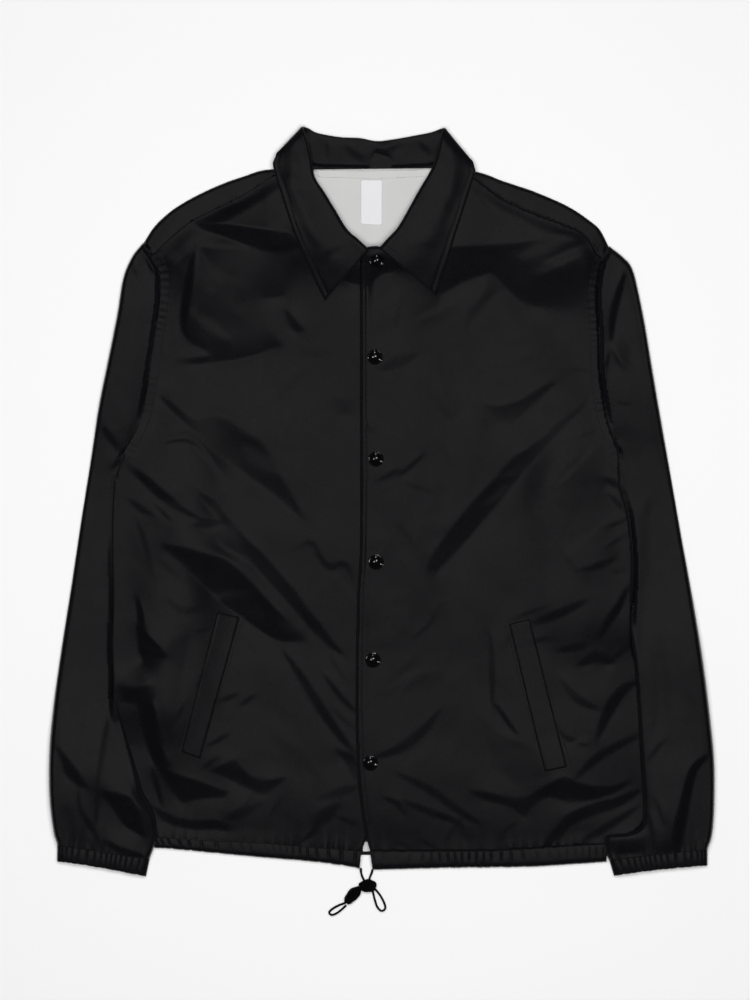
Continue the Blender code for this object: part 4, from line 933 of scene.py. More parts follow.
def finished(piece: bpy.types.Object, finish: Finish, *nodes: str) -> bpy.types.Object:
    """Dresses a piece and lets it ride on the jacket.

    Args:
        piece: The piece.
        finish: Its finish.
        nodes: The nodes that it stands for.

    Returns:
        The piece.
    """
    piece.data.materials.clear()
    piece.data.materials.append(finish.material())
    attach(piece, "root")
    if nodes:
        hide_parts(*nodes)
    LOG.info("%s: %d faces", piece.name, len(getattr(piece.data, "polygons", ())))
    return piece


def linked(name: str, data: bpy.types.ID) -> bpy.types.Object:
    """A new object in the scene."""
    made = bpy.data.objects.new(name, data)
    bpy.context.scene.collection.objects.link(made)
    return made


def mesh_object(name: str, places: np.ndarray, faces: Sequence[Sequence[int]],
                wall: float = 0.0) -> bpy.types.Object:
    """A smooth-shaded object from places and faces.

    Args:
        name: The object's name.
        places: The vertices in metres.
        faces: Each face's vertices.
        wall: The thickness that an open surface gets behind its faces.

    Returns:
        The object.
    """
    mesh = bpy.data.meshes.new(name)
    mesh.from_pydata(places.tolist(), [], [tuple(face) for face in faces])
    mesh.validate()
    mesh.update()
    mesh.shade_smooth()
    made = linked(name, mesh)
    if wall:
        shell = made.modifiers.new("Wall", "SOLIDIFY")
        shell.thickness = wall
        shell.offset = -1.0
        shell.use_even_offset = False
    return made


def ball(segments: int, rings: int) -> bpy.types.Object:
    """A ball of radius 1 at the origin."""
    bpy.ops.object.select_all(action="DESELECT")
    bpy.ops.mesh.primitive_uv_sphere_add(segments=segments, ring_count=rings, radius=1.0)
    return bpy.context.object


def grid_faces(rows: int, columns: int, closed: bool = False) -> np.ndarray:
    """Quads between rows of places, each row a ring where it is closed."""
    wide = columns if closed else columns - 1
    row = np.repeat(np.arange(rows - 1), wide) * columns
    column = np.tile(np.arange(wide), rows - 1)
    after = (column + 1) % columns
    return np.column_stack((row + column, row + after, row + columns + after, row + columns + column))


def facing_up(places: np.ndarray, faces: np.ndarray, sample: np.ndarray) -> np.ndarray:
    """Quads turned together, so that a sample of them looks up."""
    a, b, c = (places[sample[:, index]] for index in range(3))
    return faces[:, ::-1] if np.cross(b - a, c - a)[:, 2].sum() < 0 else faces


def upward(places: np.ndarray, faces: np.ndarray) -> np.ndarray:
    """Triangles, each turned so that it looks up."""
    a, b, c = (places[faces[:, index]] for index in range(3))
    flips = np.cross(b - a, c - a)[:, 2] < 0
    turned = faces.copy()
    turned[flips] = turned[flips][:, ::-1]
    return turned


def beside(line: np.ndarray, runs: np.ndarray, off: float) -> np.ndarray:
    """A line's points moved sideways off their runs."""
    runs = runs / np.linalg.norm(runs, axis=1)[:, None]
    return line + np.column_stack((-runs[:, 1], runs[:, 0])) * off


def filled(outline: np.ndarray, step: float,
           lines: Sequence[np.ndarray] = ()) -> tuple[np.ndarray, np.ndarray]:
    """Fills an outline with small triangles.

    Args:
        outline: The closed outline.
        step: The triangles' size.
        lines: Chains beside which the triangles are finer, such as seams.

    Returns:
        The points and the triangles.
    """
    low, high = outline.min(axis=0), outline.max(axis=0)
    grid = []
    for number, y in enumerate(np.arange(low[1] + 0.4 * step, high[1], step * 0.866)):
        xs = np.arange(low[0] + (0.5 * step if number % 2 else 0.0), high[0], step)
        grid.append(np.column_stack((xs, np.full(len(xs), y))))
    points = np.vstack(grid)
    points = points[depth_in(points, outline) > 0.75 * step]
    extra = []
    runs = np.roll(outline, -1, axis=0) - np.roll(outline, 1, axis=0)
    turn = 1.0 if is_inside(beside(outline, runs, 0.2)[:1], outline)[0] else -1.0
    for inset in RIM_ROWS:
        moved = beside(outline, runs, inset * turn)
        extra.append(moved[(gap_to(moved, ring_of(outline)) > 0.8 * inset) & is_inside(moved, outline)])
    for line in lines:
        for off in SEAM_ROWS:
            moved = beside(line, np.gradient(line, axis=0), off)
            extra.append(moved[depth_in(moved, outline) > 1.8])
        points = points[gap_to(points, line) > 1.5 + 0.5 * step]
    spots = np.vstack([outline, points] + extra)
    ring = [list(range(len(outline)))]
    made = delaunay_2d_cdt([Vector(spot) for spot in spots], [], ring, 1, 1e-3)
    return np.array([tuple(vert) for vert in made[0]]), np.array([tuple(face) for face in made[2]])


@dataclass
class Panel:
    """A cut piece of cloth that lies on what is under it."""

    name: str
    outline: np.ndarray
    heights: Heights
    finish: Finish
    nodes: tuple[str, ...]
    flat: tuple[float, float]
    rests_on: tuple[str, ...]
    step: float = 2.3
    wall: float = 0.0006
    seams: tuple[np.ndarray, ...] = ()

    def build(self) -> bpy.types.Object:
        """Makes the piece and gives it its finish."""
        points, faces = filled(self.outline, self.step, self.seams)
        places = in_metres(points, self.heights(points))
        piece = mesh_object(self.name, places, upward(places, faces), self.wall)
        finished(piece, self.finish, *self.nodes)
        area = min(area_of(self.outline) * 1.02, self.flat[0] * self.flat[1])
        list(self.rests_on)
        return piece


def rolled(points: np.ndarray, chain: np.ndarray, reach: float, drop: float) -> np.ndarray:
    """How far a folded edge curls down towards a chain.

    Args:
        points: Chart points.
        chain: The edge.
        reach: How far from the edge the curl starts.
        drop: How deep it goes, in metres.

    Returns:
        Depths in metres.
    """
    share = np.clip(1.0 - gap_to(points, chain) / reach, 0.0, 1.0)
    return drop * (1.0 - np.sqrt(np.maximum(1.0 - share ** 2, 0.0)))


def stitched(points: np.ndarray, chain: np.ndarray, depth: float) -> np.ndarray:
    """How far a row of stitches pulls the cloth in, in metres."""
    gap, _, share = to_chain(points, chain)
    pull = 0.8 + 0.2 * np.sin(share * length_of(chain) * 1.1)
    return depth * np.exp(-(gap / GROOVE_WIDTH) ** 2) * pull


@dataclass
class Front:
    """One front: its seams, and the shape that its fullness and its folds give it."""

    side: str
    armhole_points: Chain
    edge_points: Chain
    shoulder_points: Chain
    casing_points: Chain
    middle: tuple[np.ndarray, ...]
    facets: Sequence[tuple]
    creases: Sequence[tuple]
    heading: float
    seeds: tuple[float, float]  # Where its unevenness and its pleats start
    inward: float  # The side of the armhole's chain on which the front lies
    fullness: float = 0.0026
    unevenness: float = 0.0005
    reach: float = 90.0
    hem_lift: float = 0.72  # The share of the lift that is left at the casing
    # Chart y where that share is reached and where the lift is full
    hem_band: tuple[float, float] = (855.0, 770.0)
    # The share of the folds that is left at the outline, and the depth where they are full
    rim_folds: tuple[float, float] = (0.55, 16.0)
    pleat: float = 0.0006
    band: float = 9.0
    pucker: float = 0.0003
    groove: float = 0.0001
    crumples: int = 260

    def __post_init__(self) -> None:
        """Reads the solid, smooths the seams and lays out the folds."""
        self.solid = Relief.of_node(f"front_{self.side}", 2.0)
        self.armhole = rounded(self.armhole_points, SEAM_STEP)
        self.edge = rounded(self.edge_points, SEAM_STEP)
        self.casing = rounded(self.casing_points, SEAM_STEP)
        shoulder = rounded(self.shoulder_points[::-1], SEAM_STEP)
        self.outline = joined(self.armhole[1:], self.edge, *self.middle, shoulder)
        self.held = np.vstack([chart(points) for points in (self.shoulder_points[::-1], self.armhole_points,
                                                            self.edge_points)])
        self.folds = Slopes.of_tables(self.outline, self.facets, self.creases, self.crumples, self.heading)

    def band_line(self, cut: int) -> np.ndarray:
        """The stitched line beside the armhole, without some points at each end."""
        return self.armhole[cut:-cut] - np.array([self.inward * self.band, 0.0])

    def shape(self, points: np.ndarray) -> np.ndarray:
        """How far fullness, folds and pleats raise the cloth over its solid."""
        raised = self.hem_lift + (1.0 - self.hem_lift) * ease(points[:, 1], *self.hem_band)
        inner = ease(gap_to(points, self.held), 0.0, self.reach) * raised
        least, depth = self.rim_folds
        shown = least + (1.0 - least) * ease(depth_in(points, self.outline), 0.0, depth)
        shape = self.fullness * inner + self.unevenness * waves(points, self.seeds[0]) * inner
        return shape + self.folds.at(points) * shown + self.pleats(points, self.seeds[1])

    def pleats(self, points: np.ndarray, seed: float) -> np.ndarray:
        """Small pleats that run up from the casing's seam, in metres."""
        gap, _, share = to_chain(points, self.casing)
        run = share * length_of(self.casing)
        phase = run / 1.9 + 2.4 * np.sin(run / 19.0 + seed) + 1.5 * np.sin(run / 7.7 + seed * 2)
        reach = 8.0 + 5.0 * np.sin(run / 23.0 + seed)
        size = 0.6 + 0.4 * np.sin(run / 31.0 + seed * 3)
        return self.pleat * size * np.sin(phase) * np.exp(-gap / reach)

    def puckers(self, points: np.ndarray) -> np.ndarray:
        """The stitched band beside the armhole: a groove on its inner line and small puckers across it."""
        gap, side, share = to_chain(points, self.armhole)
        within = side == self.inward
        run = share * length_of(self.armhole)
        cover = ease(gap, self.band + 3.5, self.band - 2.0) * ease(share, 0.02, 0.08) * within
        wave = np.sin(run / 1.05 + 2.0 * np.sin(run / 17.0)) * (0.6 + 0.4 * np.sin(run / 11.0))
        return cover * self.pucker * wave - self.groove * np.exp(-((gap - self.band) / 1.1) ** 2) * within


@dataclass
class Casing:
    """A gathered strip of the hem's casing, sewn to a front above and folded under at its edge."""

    side: str
    upper: Chain
    lower: Chain
    seed: float
    columns: int = 420
    rows: tuple[float, ...] = (0.0, 0.06, 0.13, 0.22, 0.34, 0.48, 0.6, 0.72, 0.82, 0.9, 0.96, 1.0)
    tuck: float = 1.6
    low: float = 0.0019
    rise: float = 0.0028
    shoulder: float = 0.84  # The share of its rise at its seam
    round_power: float = 5.0  # How squarely its lower half turns down
    fold: float = 0.0006
    sway: float = 0.5
    lean: float = 1.2
    groove: float = 0.32
    fullness: float = 1.12
    wall: float = 0.0006

    def swell(self, part: float) -> float:
        """The share of the rise at a share of the width."""
        if part < 0.5:
            return self.shoulder + (1.0 - self.shoulder) * math.sin(math.pi * part)
        return math.sqrt(max(1.0 - ((part - 0.5) / 0.5) ** self.round_power, 0.0))

    def build(self) -> None:
        """Makes the strip."""
        top, end = rounded(self.upper, 1.3), rounded(self.lower, 1.3)
        shares = np.linspace(0, 1, self.columns)
        start, stop = spots_on(top, shares), spots_on(end, shares)
        start[:, 1] -= self.tuck
        run = shares * length_of(top)
        size = 0.65 + 0.35 * np.sin(run / 27.0 + self.seed * 2)
        groove = np.exp(-(np.sin(run / 2.9 + 2.6 * np.sin(run / 21.0 + self.seed)) / self.groove) ** 2)
        wave = size * (0.3 * np.sin(run / 4.1 + self.seed * 3) - groove)
        lean = self.lean * np.sin(run / 13.0 + self.seed)
        rows = []
        for part in self.rows:
            swell = self.swell(part)
            points = start * (1 - part) + stop * part
            points[:, 0] += lean * (part - 0.5)
            points[:, 1] += self.sway * wave * part
            depth = self.fold * wave * math.sin(math.pi * min(part + 0.12, 0.9))
            rows.append(in_metres(points, self.low + self.rise * swell + depth * swell))
        places = np.vstack(rows)
        faces = grid_faces(len(rows), self.columns)
        piece = mesh_object(f"{self.side}_hem", places, facing_up(places, faces, faces), self.wall)
        finished(piece, NYLON, f"hem_{self.side}")
        flat = (round(float(length_of(top)) * UNIT * self.fullness, 3), 0.0180)


@dataclass
class Body:
    """The fronts, the back with its shoulder strips, and the hem."""

    # The least height of a front's top over the back's, and the softness of that limit
    clearance: tuple[float, float] = (0.0011, 0.0004)
    # Chart x where the right front goes under the left one, and where it is all out again
    shown: tuple[float, float] = (380.0, 364.0)
    hidden_drop: float = 0.0016
    # Chart x where the left front starts to rise over the right one, and where it is all over it
    lap: tuple[float, float] = (416.0, 378.0)
    # The height of the left front's top over the right one's, and the softness of that limit
    lap_rise: tuple[float, float] = (0.0010, 0.0005)
    side_roll: tuple[float, float] = (1.5, 0.0007)  # How far in and how deep the sides curl
    closing_roll: tuple[float, float] = (1.8, 0.0009)
    placket_in: float = 6.5
    placket_groove: float = 0.00025
    strip_roll: tuple[float, float] = (3.0, 0.0020)
    # How much lower the shoulder strips are at their folds, and how far in that goes
    strip_lean: tuple[float, float] = (0.0011, 17.0)
    patch: Chain = ((362.6, 842.0), (371.0, 842.0), (370.2, 851.5), (362.8, 851.5))

    def __post_init__(self) -> None:
        """Reads the solids that the cloth lies on and lays out both fronts."""
        self.back_top = Relief.of_node("back")
        self.closing = rounded(EDGE_LEFT, SEAM_STEP)
        self.placket_line = self.closing[7:-2] + np.array([self.placket_in, 0.0])
        self.right = Front("right", ARMHOLE_RIGHT, SIDE_RIGHT, SHOULDER_SEAM_RIGHT, CASING_RIGHT,
                           (rounded(CASING_RIGHT, SEAM_STEP), rounded(EDGE_RIGHT[::-1], 4.0),
                            rounded(NECK_RIGHT[::-1], 3.0)),
                           FACETS_RIGHT, CREASES_RIGHT, 44.0, (0.4, 0.7), -1.0)
        self.left = Front("left", ARMHOLE_LEFT, SIDE_LEFT, SHOULDER_SEAM_LEFT, CASING_LEFT,
                          (rounded(CASING_LEFT, SEAM_STEP)[::-1], self.closing[::-1],
                           rounded(NECK_LEFT, SEAM_STEP)),
                          FACETS_LEFT, CREASES_LEFT, -46.0, (2.1, 2.9), 1.0)

    def fronts(self) -> tuple[tuple[Front, Heights], ...]:
        """Each front with its top's height, the right one first."""
        return (self.right, self.right_height), (self.left, self.left_height)

    def right_height(self, points: np.ndarray) -> np.ndarray:
        """The right front's top."""
        front = self.right
        shown = ease(points[:, 0], *self.shown)
        top = front.solid.at(points) + front.shape(points) * shown + front.puckers(points)
        top = self.above_back(points, top - self.hidden_drop * (1.0 - shown))
        return top - rolled(points, front.edge, *self.side_roll)

    def left_height(self, points: np.ndarray) -> np.ndarray:
        """The left front's top, raised over the right one along the placket."""
        front = self.left
        top = front.solid.at(points) + front.shape(points) + front.puckers(points)
        lap = ease(points[:, 0], *self.lap)
        near = lap > 0
        rise, softness = self.lap_rise
        top[near] += soft_excess(self.right_height(points[near]) + rise - top[near], softness) * lap[near]
        top = self.above_back(points, top)
        top -= stitched(points, self.placket_line, self.placket_groove)
        top -= rolled(points, self.closing, *self.closing_roll)
        return top - rolled(points, front.edge, *self.side_roll)

    def above_back(self, points: np.ndarray, top: np.ndarray) -> np.ndarray:
        """The heights, kept softly clear of the back's."""
        least, softness = self.clearance
        floor = self.back_top.at(points) + least
        return floor + soft_excess(top - floor, softness)

    def strip_height(self, node: str, fold: np.ndarray) -> Heights:
        """The top of a shoulder strip, curled over its fold."""
        top = Relief.of_node(node, 0.8, 4.0)
        drop, reach = self.strip_lean

        def height(points: np.ndarray) -> np.ndarray:
            """The strip's height at chart points."""
            lean = drop * (1.0 - ease(gap_to(points, fold), 0.0, reach))
            return (top.at(points) + 0.0005 * waves(points * 2.2, 1.0) - lean + 0.0003
                    - rolled(points, fold, *self.strip_roll))

        return height

    def build(self) -> None:
        """Makes the panels and the casing."""
        fold_right, fold_left = rounded(SHOULDER_FOLD_RIGHT, 3.0), rounded(SHOULDER_FOLD_LEFT, 3.0)
        back = joined(fold_right, rounded(NECK_BACK, 5.0), fold_left[::-1], self.left.armhole[1:],
                      self.left.edge, rounded(CASING_BACK[::-1], 5.0), self.right.edge[::-1],
                      self.right.armhole[:0:-1])
        Panel("back_panel", back, lambda points: self.back_top.at(points) - 0.0001, NYLON, ("back",),
              (0.56, 0.70), ("right_sleeve", "left_sleeve"), step=6.0, wall=0.0010).build()
        for side, fold, seam, flat in (("right", fold_right, SHOULDER_SEAM_RIGHT, (0.165, 0.02)),
                                       ("left", fold_left, SHOULDER_SEAM_LEFT, (0.175, 0.024))):
            Panel(f"{side}_shoulder_strip", joined(fold, rounded(seam[::-1], 3.0)),
                  self.strip_height(f"shoulder_{side}", fold), NYLON, (f"shoulder_{side}",), flat,
                  ("back_panel",), step=2.0).build()
        Panel("right_front", self.right.outline, self.right_height, NYLON, ("front_right",), (0.30, 0.70),
              ("back_panel",), seams=(self.right.band_line(5),)).build()
        Panel("left_front", self.left.outline, self.left_height, NYLON, ("front_left",), (0.31, 0.70),
              ("right_front", "back_panel"), seams=(self.placket_line, self.left.band_line(5))).build()
        Casing("right", CASING_RIGHT, HEM_EDGE_RIGHT, 0.3).build()
        Casing("left", CASING_LEFT, HEM_EDGE_LEFT, 1.9).build()
        outline = joined(rounded(CASING_BACK, 5.0) + np.array([0.0, 0.4]), rounded(HEM_EDGE_BACK[::-1], 5.0))
        Panel("back_hem", outline, lambda points: np.full(len(points), 0.0010), NYLON, ("hem_back",),
              (0.478, 0.0155), (), step=3.0, wall=0.0009).build()
        Panel("back_lining_patch", resampled(self.patch, 1.5), lambda points: np.full(len(points), 0.0019),
              PALE, (), (0.0104, 0.0104), ("back_panel",), step=1.6, wall=0.0005).build()


@dataclass(frozen=True)
class SleeveCut:
    """One sleeve's own tables."""

    side: str
    out: Chain
    inner: Chain
    armhole: Chain
    cuff_top: Chain
    cuff_end: Chain
    facets: Sequence[tuple]
    creases: Sequence[tuple]
    heading: float
    crossing: float  # Chart y where it comes out from under the body and goes over it


SLEEVE_CUTS = (
    SleeveCut("right", SLEEVE_OUT_RIGHT, SLEEVE_LAID_RIGHT, ARMHOLE_RIGHT, CUFF_TOP_RIGHT, CUFF_END_RIGHT,
              FACETS_SLEEVE_RIGHT, CREASES_SLEEVE_RIGHT, 100.0, 700.0),
    SleeveCut("left", SLEEVE_OUT_LEFT, SLEEVE_LAID_LEFT, ARMHOLE_LEFT, CUFF_TOP_LEFT, CUFF_END_LEFT,
              FACETS_SLEEVE_LEFT, CREASES_SLEEVE_LEFT, 80.0, 606.0),
)


@dataclass
class Cuff:
    """A gathered elastic cuff as a tube."""

    cut: SleeveCut
    around: int = 400
    along: int = 12
    tuck: float = 1.2
    middle: float = 0.0022
    under: float = 0.0020
    # The height of its top, and how much more that is halfway down
    swell: tuple[float, float] = (0.0058, 0.0005)
    fold: float = 0.0005
    sway: float = 0.5
    groove: float = 0.36
    run: float = 92.0
    wall: float = 0.0006

    def build(self) -> None:
        """Makes the cuff."""
        start, stop = rounded(self.cut.cuff_top, 1.0), rounded(self.cut.cuff_end, 1.0)
        turn = np.linspace(0, 2, self.around, endpoint=False)
        share = np.where(turn <= 1, turn, 2 - turn)
        run = share * self.run
        crown = np.sqrt(np.maximum(1.0 - np.abs(2 * share - 1) ** 9, 0.0))
        rows = []
        for part in np.linspace(0, 1, self.along):
            line = spots_on(start, share) * (1 - part) + spots_on(stop, share) * part
            phase = run / 1.9 + 1.4 * np.sin(run / 9.0) + 0.3 * part
            ridge = 0.3 * np.sin(run / 2.9 + 1.0) - np.exp(-(np.sin(phase) / self.groove) ** 2)
            swell = self.swell[0] + self.swell[1] * math.sin(math.pi * part)
            fold = self.fold * ridge * math.sin(math.pi * min(part + 0.16, 0.86))
            height = np.where(turn <= 1, self.middle + (swell - self.middle + fold) * crown,
                              self.middle - self.under * crown)
            line[:, 1] += self.sway * ridge * part - self.tuck * (1 - part)
            rows.append(in_metres(line, height))
        places = np.vstack(rows)
        faces = grid_faces(self.along, self.around, closed=True)
        faces = facing_up(places, faces, faces[faces[:, 0] % self.around < self.around // 2 - 2])
        piece = mesh_object(f"{self.cut.side}_cuff", places, faces, self.wall)
        finished(piece, NYLON, f"cuff_{self.cut.side}")


@dataclass
class Sleeve:
    """A sleeve, laid flat with its cuff, tucked under the body above and over its side below."""

    cut: SleeveCut
    body: Body
    front: Front
    front_height: Heights
    rim: float = 0.0016
    fullness: float = 0.0003
    unevenness: float = 0.0004
    reach: float = 34.0
    tuck: float = 4.5
    curl: float = 3.4
    thinnest: float = 0.0006
    over_front: float = 0.0005
    # How far under a front it goes: where they are sewn, and what more it goes below that
    under_front: tuple[float, float] = (0.0009, 0.0024)
    sewn_end: float = 452.0
    gather: tuple[float, float] = (0.0005, 10.0)  # The height of the gathers above the cuff, and their reach
    step: float = 2.4
    wall: float = 0.0005
    crumples: int = 110

    def __post_init__(self) -> None:
        """Reads the solid and lays out the folds."""
        node = f"sleeve_{self.cut.side}"
        self.top = Relief.of_node(node)
        self.under = Relief.of_node(node, under=True)
        highest = self.top.heights.max(axis=1)[:, None] * np.ones((1, 3))
        self.level = Relief.smoothed(highest, 5.0)[:, 1]
        self.out = rounded(self.cut.out, self.step)
        self.inner = rounded(self.cut.inner, self.step)
        self.cuff_top = rounded(self.cut.cuff_top, self.step)
        armhole = rounded(self.cut.armhole, self.step)
        share = np.linspace(0, 1, len(armhole))
        armhole[:, 0] -= self.front.inward * self.tuck * ease(share, 0.0, 0.08) * ease(share, 1.0, 0.9)
        self.outline = joined(armhole, self.inner, self.cuff_top[::-1], self.out[::-1])
        self.folds = Slopes.of_tables(self.outline, self.cut.facets, self.cut.creases, self.crumples,
                                      self.cut.heading, 0.03)

    def shape(self, points: np.ndarray, edge_gap: np.ndarray) -> np.ndarray:
        """How far fullness, folds and gathers raise the upper layer, in metres."""
        inward = ease(edge_gap, 0.0, self.reach)
        cuff_gap, _, share = to_chain(points, self.cuff_top)
        run = share * 95.0
        gather = np.sin(run / 1.5 + 2.0 * np.sin(run / 9.0)) * (0.7 + 0.3 * np.sin(run / 13.0))
        height, reach = self.gather
        return (self.fullness * inward + self.folds.at(points) * ease(edge_gap, -4.0, 12.0)
                + self.unevenness * waves(points, 1.3) * inward + height * gather * np.exp(-cuff_gap / reach))

    def heights(self, points: np.ndarray) -> tuple[np.ndarray, np.ndarray]:
        """The upper and the lower layer, both curled together at the folded edges.

        Args:
            points: Chart points.

        Returns:
            The upper and the lower layer's heights in metres.
        """
        depth = depth_in(points, self.front.outline)
        front = np.full(len(points), -1.0)
        near = depth > -4.0
        front[near] = self.front_height(points[near])
        below = points[:, 1] > self.cut.crossing
        low = self.under.at(points)
        raised = np.maximum(low, front + self.over_front)
        low = np.where(below, low + (raised - low) * ease(depth, -4.0, -0.5), low)
        edge_gap = gap_to(points, self.out, self.inner)
        curl = np.sqrt(np.maximum(1.0 - np.clip(1.0 - edge_gap / self.curl, 0.0, 1.0) ** 2, 0.0))
        rows = (points[:, 1] - self.top.low[1]) / self.top.pitch
        level = np.interp(rows, np.arange(len(self.level)), self.level)
        full = np.maximum(level - low - self.rim, self.thinnest + 0.0002)
        over = low + self.rim + np.maximum(full + self.shape(points, edge_gap), self.thinnest) * curl
        beneath = low + self.rim - (self.rim - 0.0002) * curl
        tucked = ~below & (depth > -2.5)
        sewn = tucked & (points[:, 1] < self.sewn_end)
        gap, more = self.under_front
        over = np.where(tucked, np.minimum(over, np.where(sewn, front, front - more) - gap), over)
        beneath = np.where(sewn, np.maximum(beneath, self.body.back_top.at(points) + 0.0001), beneath)
        return over, np.minimum(beneath, over - 0.0002)

    def build(self) -> None:
        """Makes the sleeve as one flattened tube, open at the armhole and the cuff, and its cuff."""
        points, faces = filled(self.outline, self.step)
        over, beneath = self.heights(points)
        closed = gap_to(points, self.out, self.inner) < 0.05
        top_places = in_metres(points, over)
        top_faces = upward(top_places, faces)
        renumber = np.where(closed, np.arange(len(points)), len(points) + np.cumsum(~closed) - 1)
        places = np.vstack((top_places, in_metres(points, beneath)[~closed]))
        bottom_faces = renumber[top_faces][:, ::-1]
        keep = ~closed[top_faces].all(axis=1)
        side = self.cut.side
        piece = mesh_object(f"{side}_sleeve", places, np.vstack((top_faces, bottom_faces[keep])), self.wall)
        finished(piece, NYLON, f"sleeve_{side}")
        area_of(self.outline) * 2.05
        Cuff(self.cut).build()


@dataclass
class Collar:
    """The pointed collar: its stand, its fold and its fall, turned under behind the neck."""

    body: Body
    middle: float = 374.0
    depth: float = 0.0032
    thin: float = 0.0006
    bend_start: float = 1.6
    stand_rows: int = 9
    bend_rows: int = 5
    plain_rows: int = 14
    # Distances of the hem's places from the fall's edge
    hem_rows: tuple[float, ...] = (7.8, 7.0, 6.4, 5.8, 5.2, 4.2, 2.8, 1.4, 0.6, 0.0)
    stitch_in: float = 6.1
    groove: float = 0.00018
    resting: float = 0.0017
    parts: int = 9
    smoothing: float = 4.0
    lowest: float = 0.0011
    leaf: int = 50
    extent: Chain = ((270, 120), (480, 120), (480, 306), (270, 306))

    def __post_init__(self) -> None:
        """Spaces the stations closely and lays out the creases."""
        self.stations = smooth_rows(chart(COLLAR), [self.parts] * (len(COLLAR) - 1))
        self.folds = Slopes.of_tables(chart(self.extent), (), CREASES_COLLAR, 90, 60.0, 0.035)

    def section(self, station: np.ndarray) -> tuple[np.ndarray, np.ndarray, np.ndarray, np.ndarray]:
        """One section, from the stand's edge round the fold to the fall's edge.

        Args:
            station: A row of the collar's table.

        Returns:
            Chart points, heights over the shelf, and the shares of the lift and of the creases.
        """
        fold, towards, (fall_width, stand_width, lift, turn) = station[:2], station[2:4], station[4:]
        run = (towards - fold) / np.linalg.norm(towards - fold)
        outward = np.array([-run[1], run[0]]) * (1.0 if fold[0] < self.middle else -1.0)
        lean, rise = math.sin(math.radians(turn)), math.cos(math.radians(turn))
        half = self.depth / 2
        bend = np.radians(np.linspace(-90, 90, self.bend_rows + 2)[1:-1])
        fall = np.concatenate((np.linspace(self.bend_start, fall_width - 9.0, self.plain_rows),
                               fall_width - np.array(self.hem_rows)))
        edge = fall_width - fall
        stitch = -self.groove * np.exp(-((edge - self.stitch_in) / 0.7) ** 2)
        hem = 0.0001 * ease(edge, 5.6, 4.2) - 0.0008 * ease(edge, 1.2, 0.0)
        distance = np.concatenate((np.linspace(stand_width, self.bend_start, self.stand_rows),
                                   self.bend_start - self.bend_start * np.cos(bend), fall))
        level = np.concatenate((np.full(self.stand_rows, self.thin), half + (half - self.thin) * np.sin(bend),
                                np.full(len(fall), self.depth) + stitch + hem))
        rested = ease(distance, stand_width + 2, max(fall_width - 4, stand_width + 16)) * max(rise, 0.0)
        rested[:self.stand_rows + self.bend_rows] = 0.0
        off = level - rested * self.resting - half
        points = fold + distance[:, None] * run + outward * (lean * off / UNIT)[:, None]
        ripple = ease(distance, 1.0, 8.0) * np.abs(rise)
        ripple[:self.stand_rows] *= 1.0 if rise < 0 else 0.0
        return points, half + rise * off, np.full(len(points), lift), ripple

    def shelf(self, spots: np.ndarray) -> np.ndarray:
        """The highest top of the fronts near chart points, which the leaves bridge."""
        picks = []
        for step in SHELF_STEPS:
            near = spots + np.array(step)
            right = near[:, 0] < 358
            height = np.zeros(len(near))
            height[right] = self.body.right_height(near[right])
            height[~right] = self.body.left_height(near[~right])
            picks.append(height)
        return np.max(picks, axis=0)

    def build(self) -> np.ndarray:
        """Makes the collar.

        Returns:
            The sections' places, for its stitches.
        """
        made = [self.section(station) for station in self.stations]
        points, levels, lifts, ripples = (np.array([section[part] for section in made]) for part in range(4))
        count, width = levels.shape
        spots = points.reshape(-1, 2)
        raised = lifts * (Relief.smoothed(self.shelf(spots).reshape(count, width), self.smoothing) + 0.0005)
        folds = self.folds.at(spots) + 0.0004 * waves(spots, 3.0)
        heights = np.maximum(raised + levels + folds.reshape(count, width) * ripples, self.lowest)
        places = in_metres(spots, heights.ravel())
        faces = grid_faces(count, width)
        leaf = (faces[:, 0] % width > self.stand_rows + self.bend_rows) & (faces[:, 0] // width < self.leaf)
        piece = mesh_object("collar_cloth", places, facing_up(places, faces, faces[leaf]), 0.0010)
        finished(piece, NYLON, "collar")
        return places.reshape(count, width, 3)


@dataclass
class Neck:
    """What shows inside the neck: the lining, its facing strip and a bare label."""

    unevenness: float = 0.0004
    strip_rise: float = 0.0010
    label_rise: float = 0.0011

    def build(self) -> None:
        """Makes the three pieces."""
        lining = Relief.of_node("lining_back", 1.2, 4.0)

        def top(rise: float) -> Heights:
            """The heights of what lies on the lining."""
            return lambda points: lining.at(points) + self.unevenness * waves(points * 1.6, 5.0) + rise

        Panel("neck_lining", chart(LINING), top(0.0), PALE, ("lining_back",), (0.132, 0.09), ("back_panel",),
              step=2.4, wall=0.0005).build()
        Panel("neck_strip", joined(rounded(FACING[:3], 3.0), rounded(FACING[3:], 3.0)), top(self.strip_rise),
              PALE, ("neck_facing",), (0.12, 0.011), ("neck_lining",), step=1.8, wall=0.0006).build()
        Panel("bare_label", resampled(LABEL, 2.0), top(self.label_rise), TAPE, ("label",), (0.0216, 0.0464),
              ("neck_lining",), step=2.0, wall=0.0005).build()


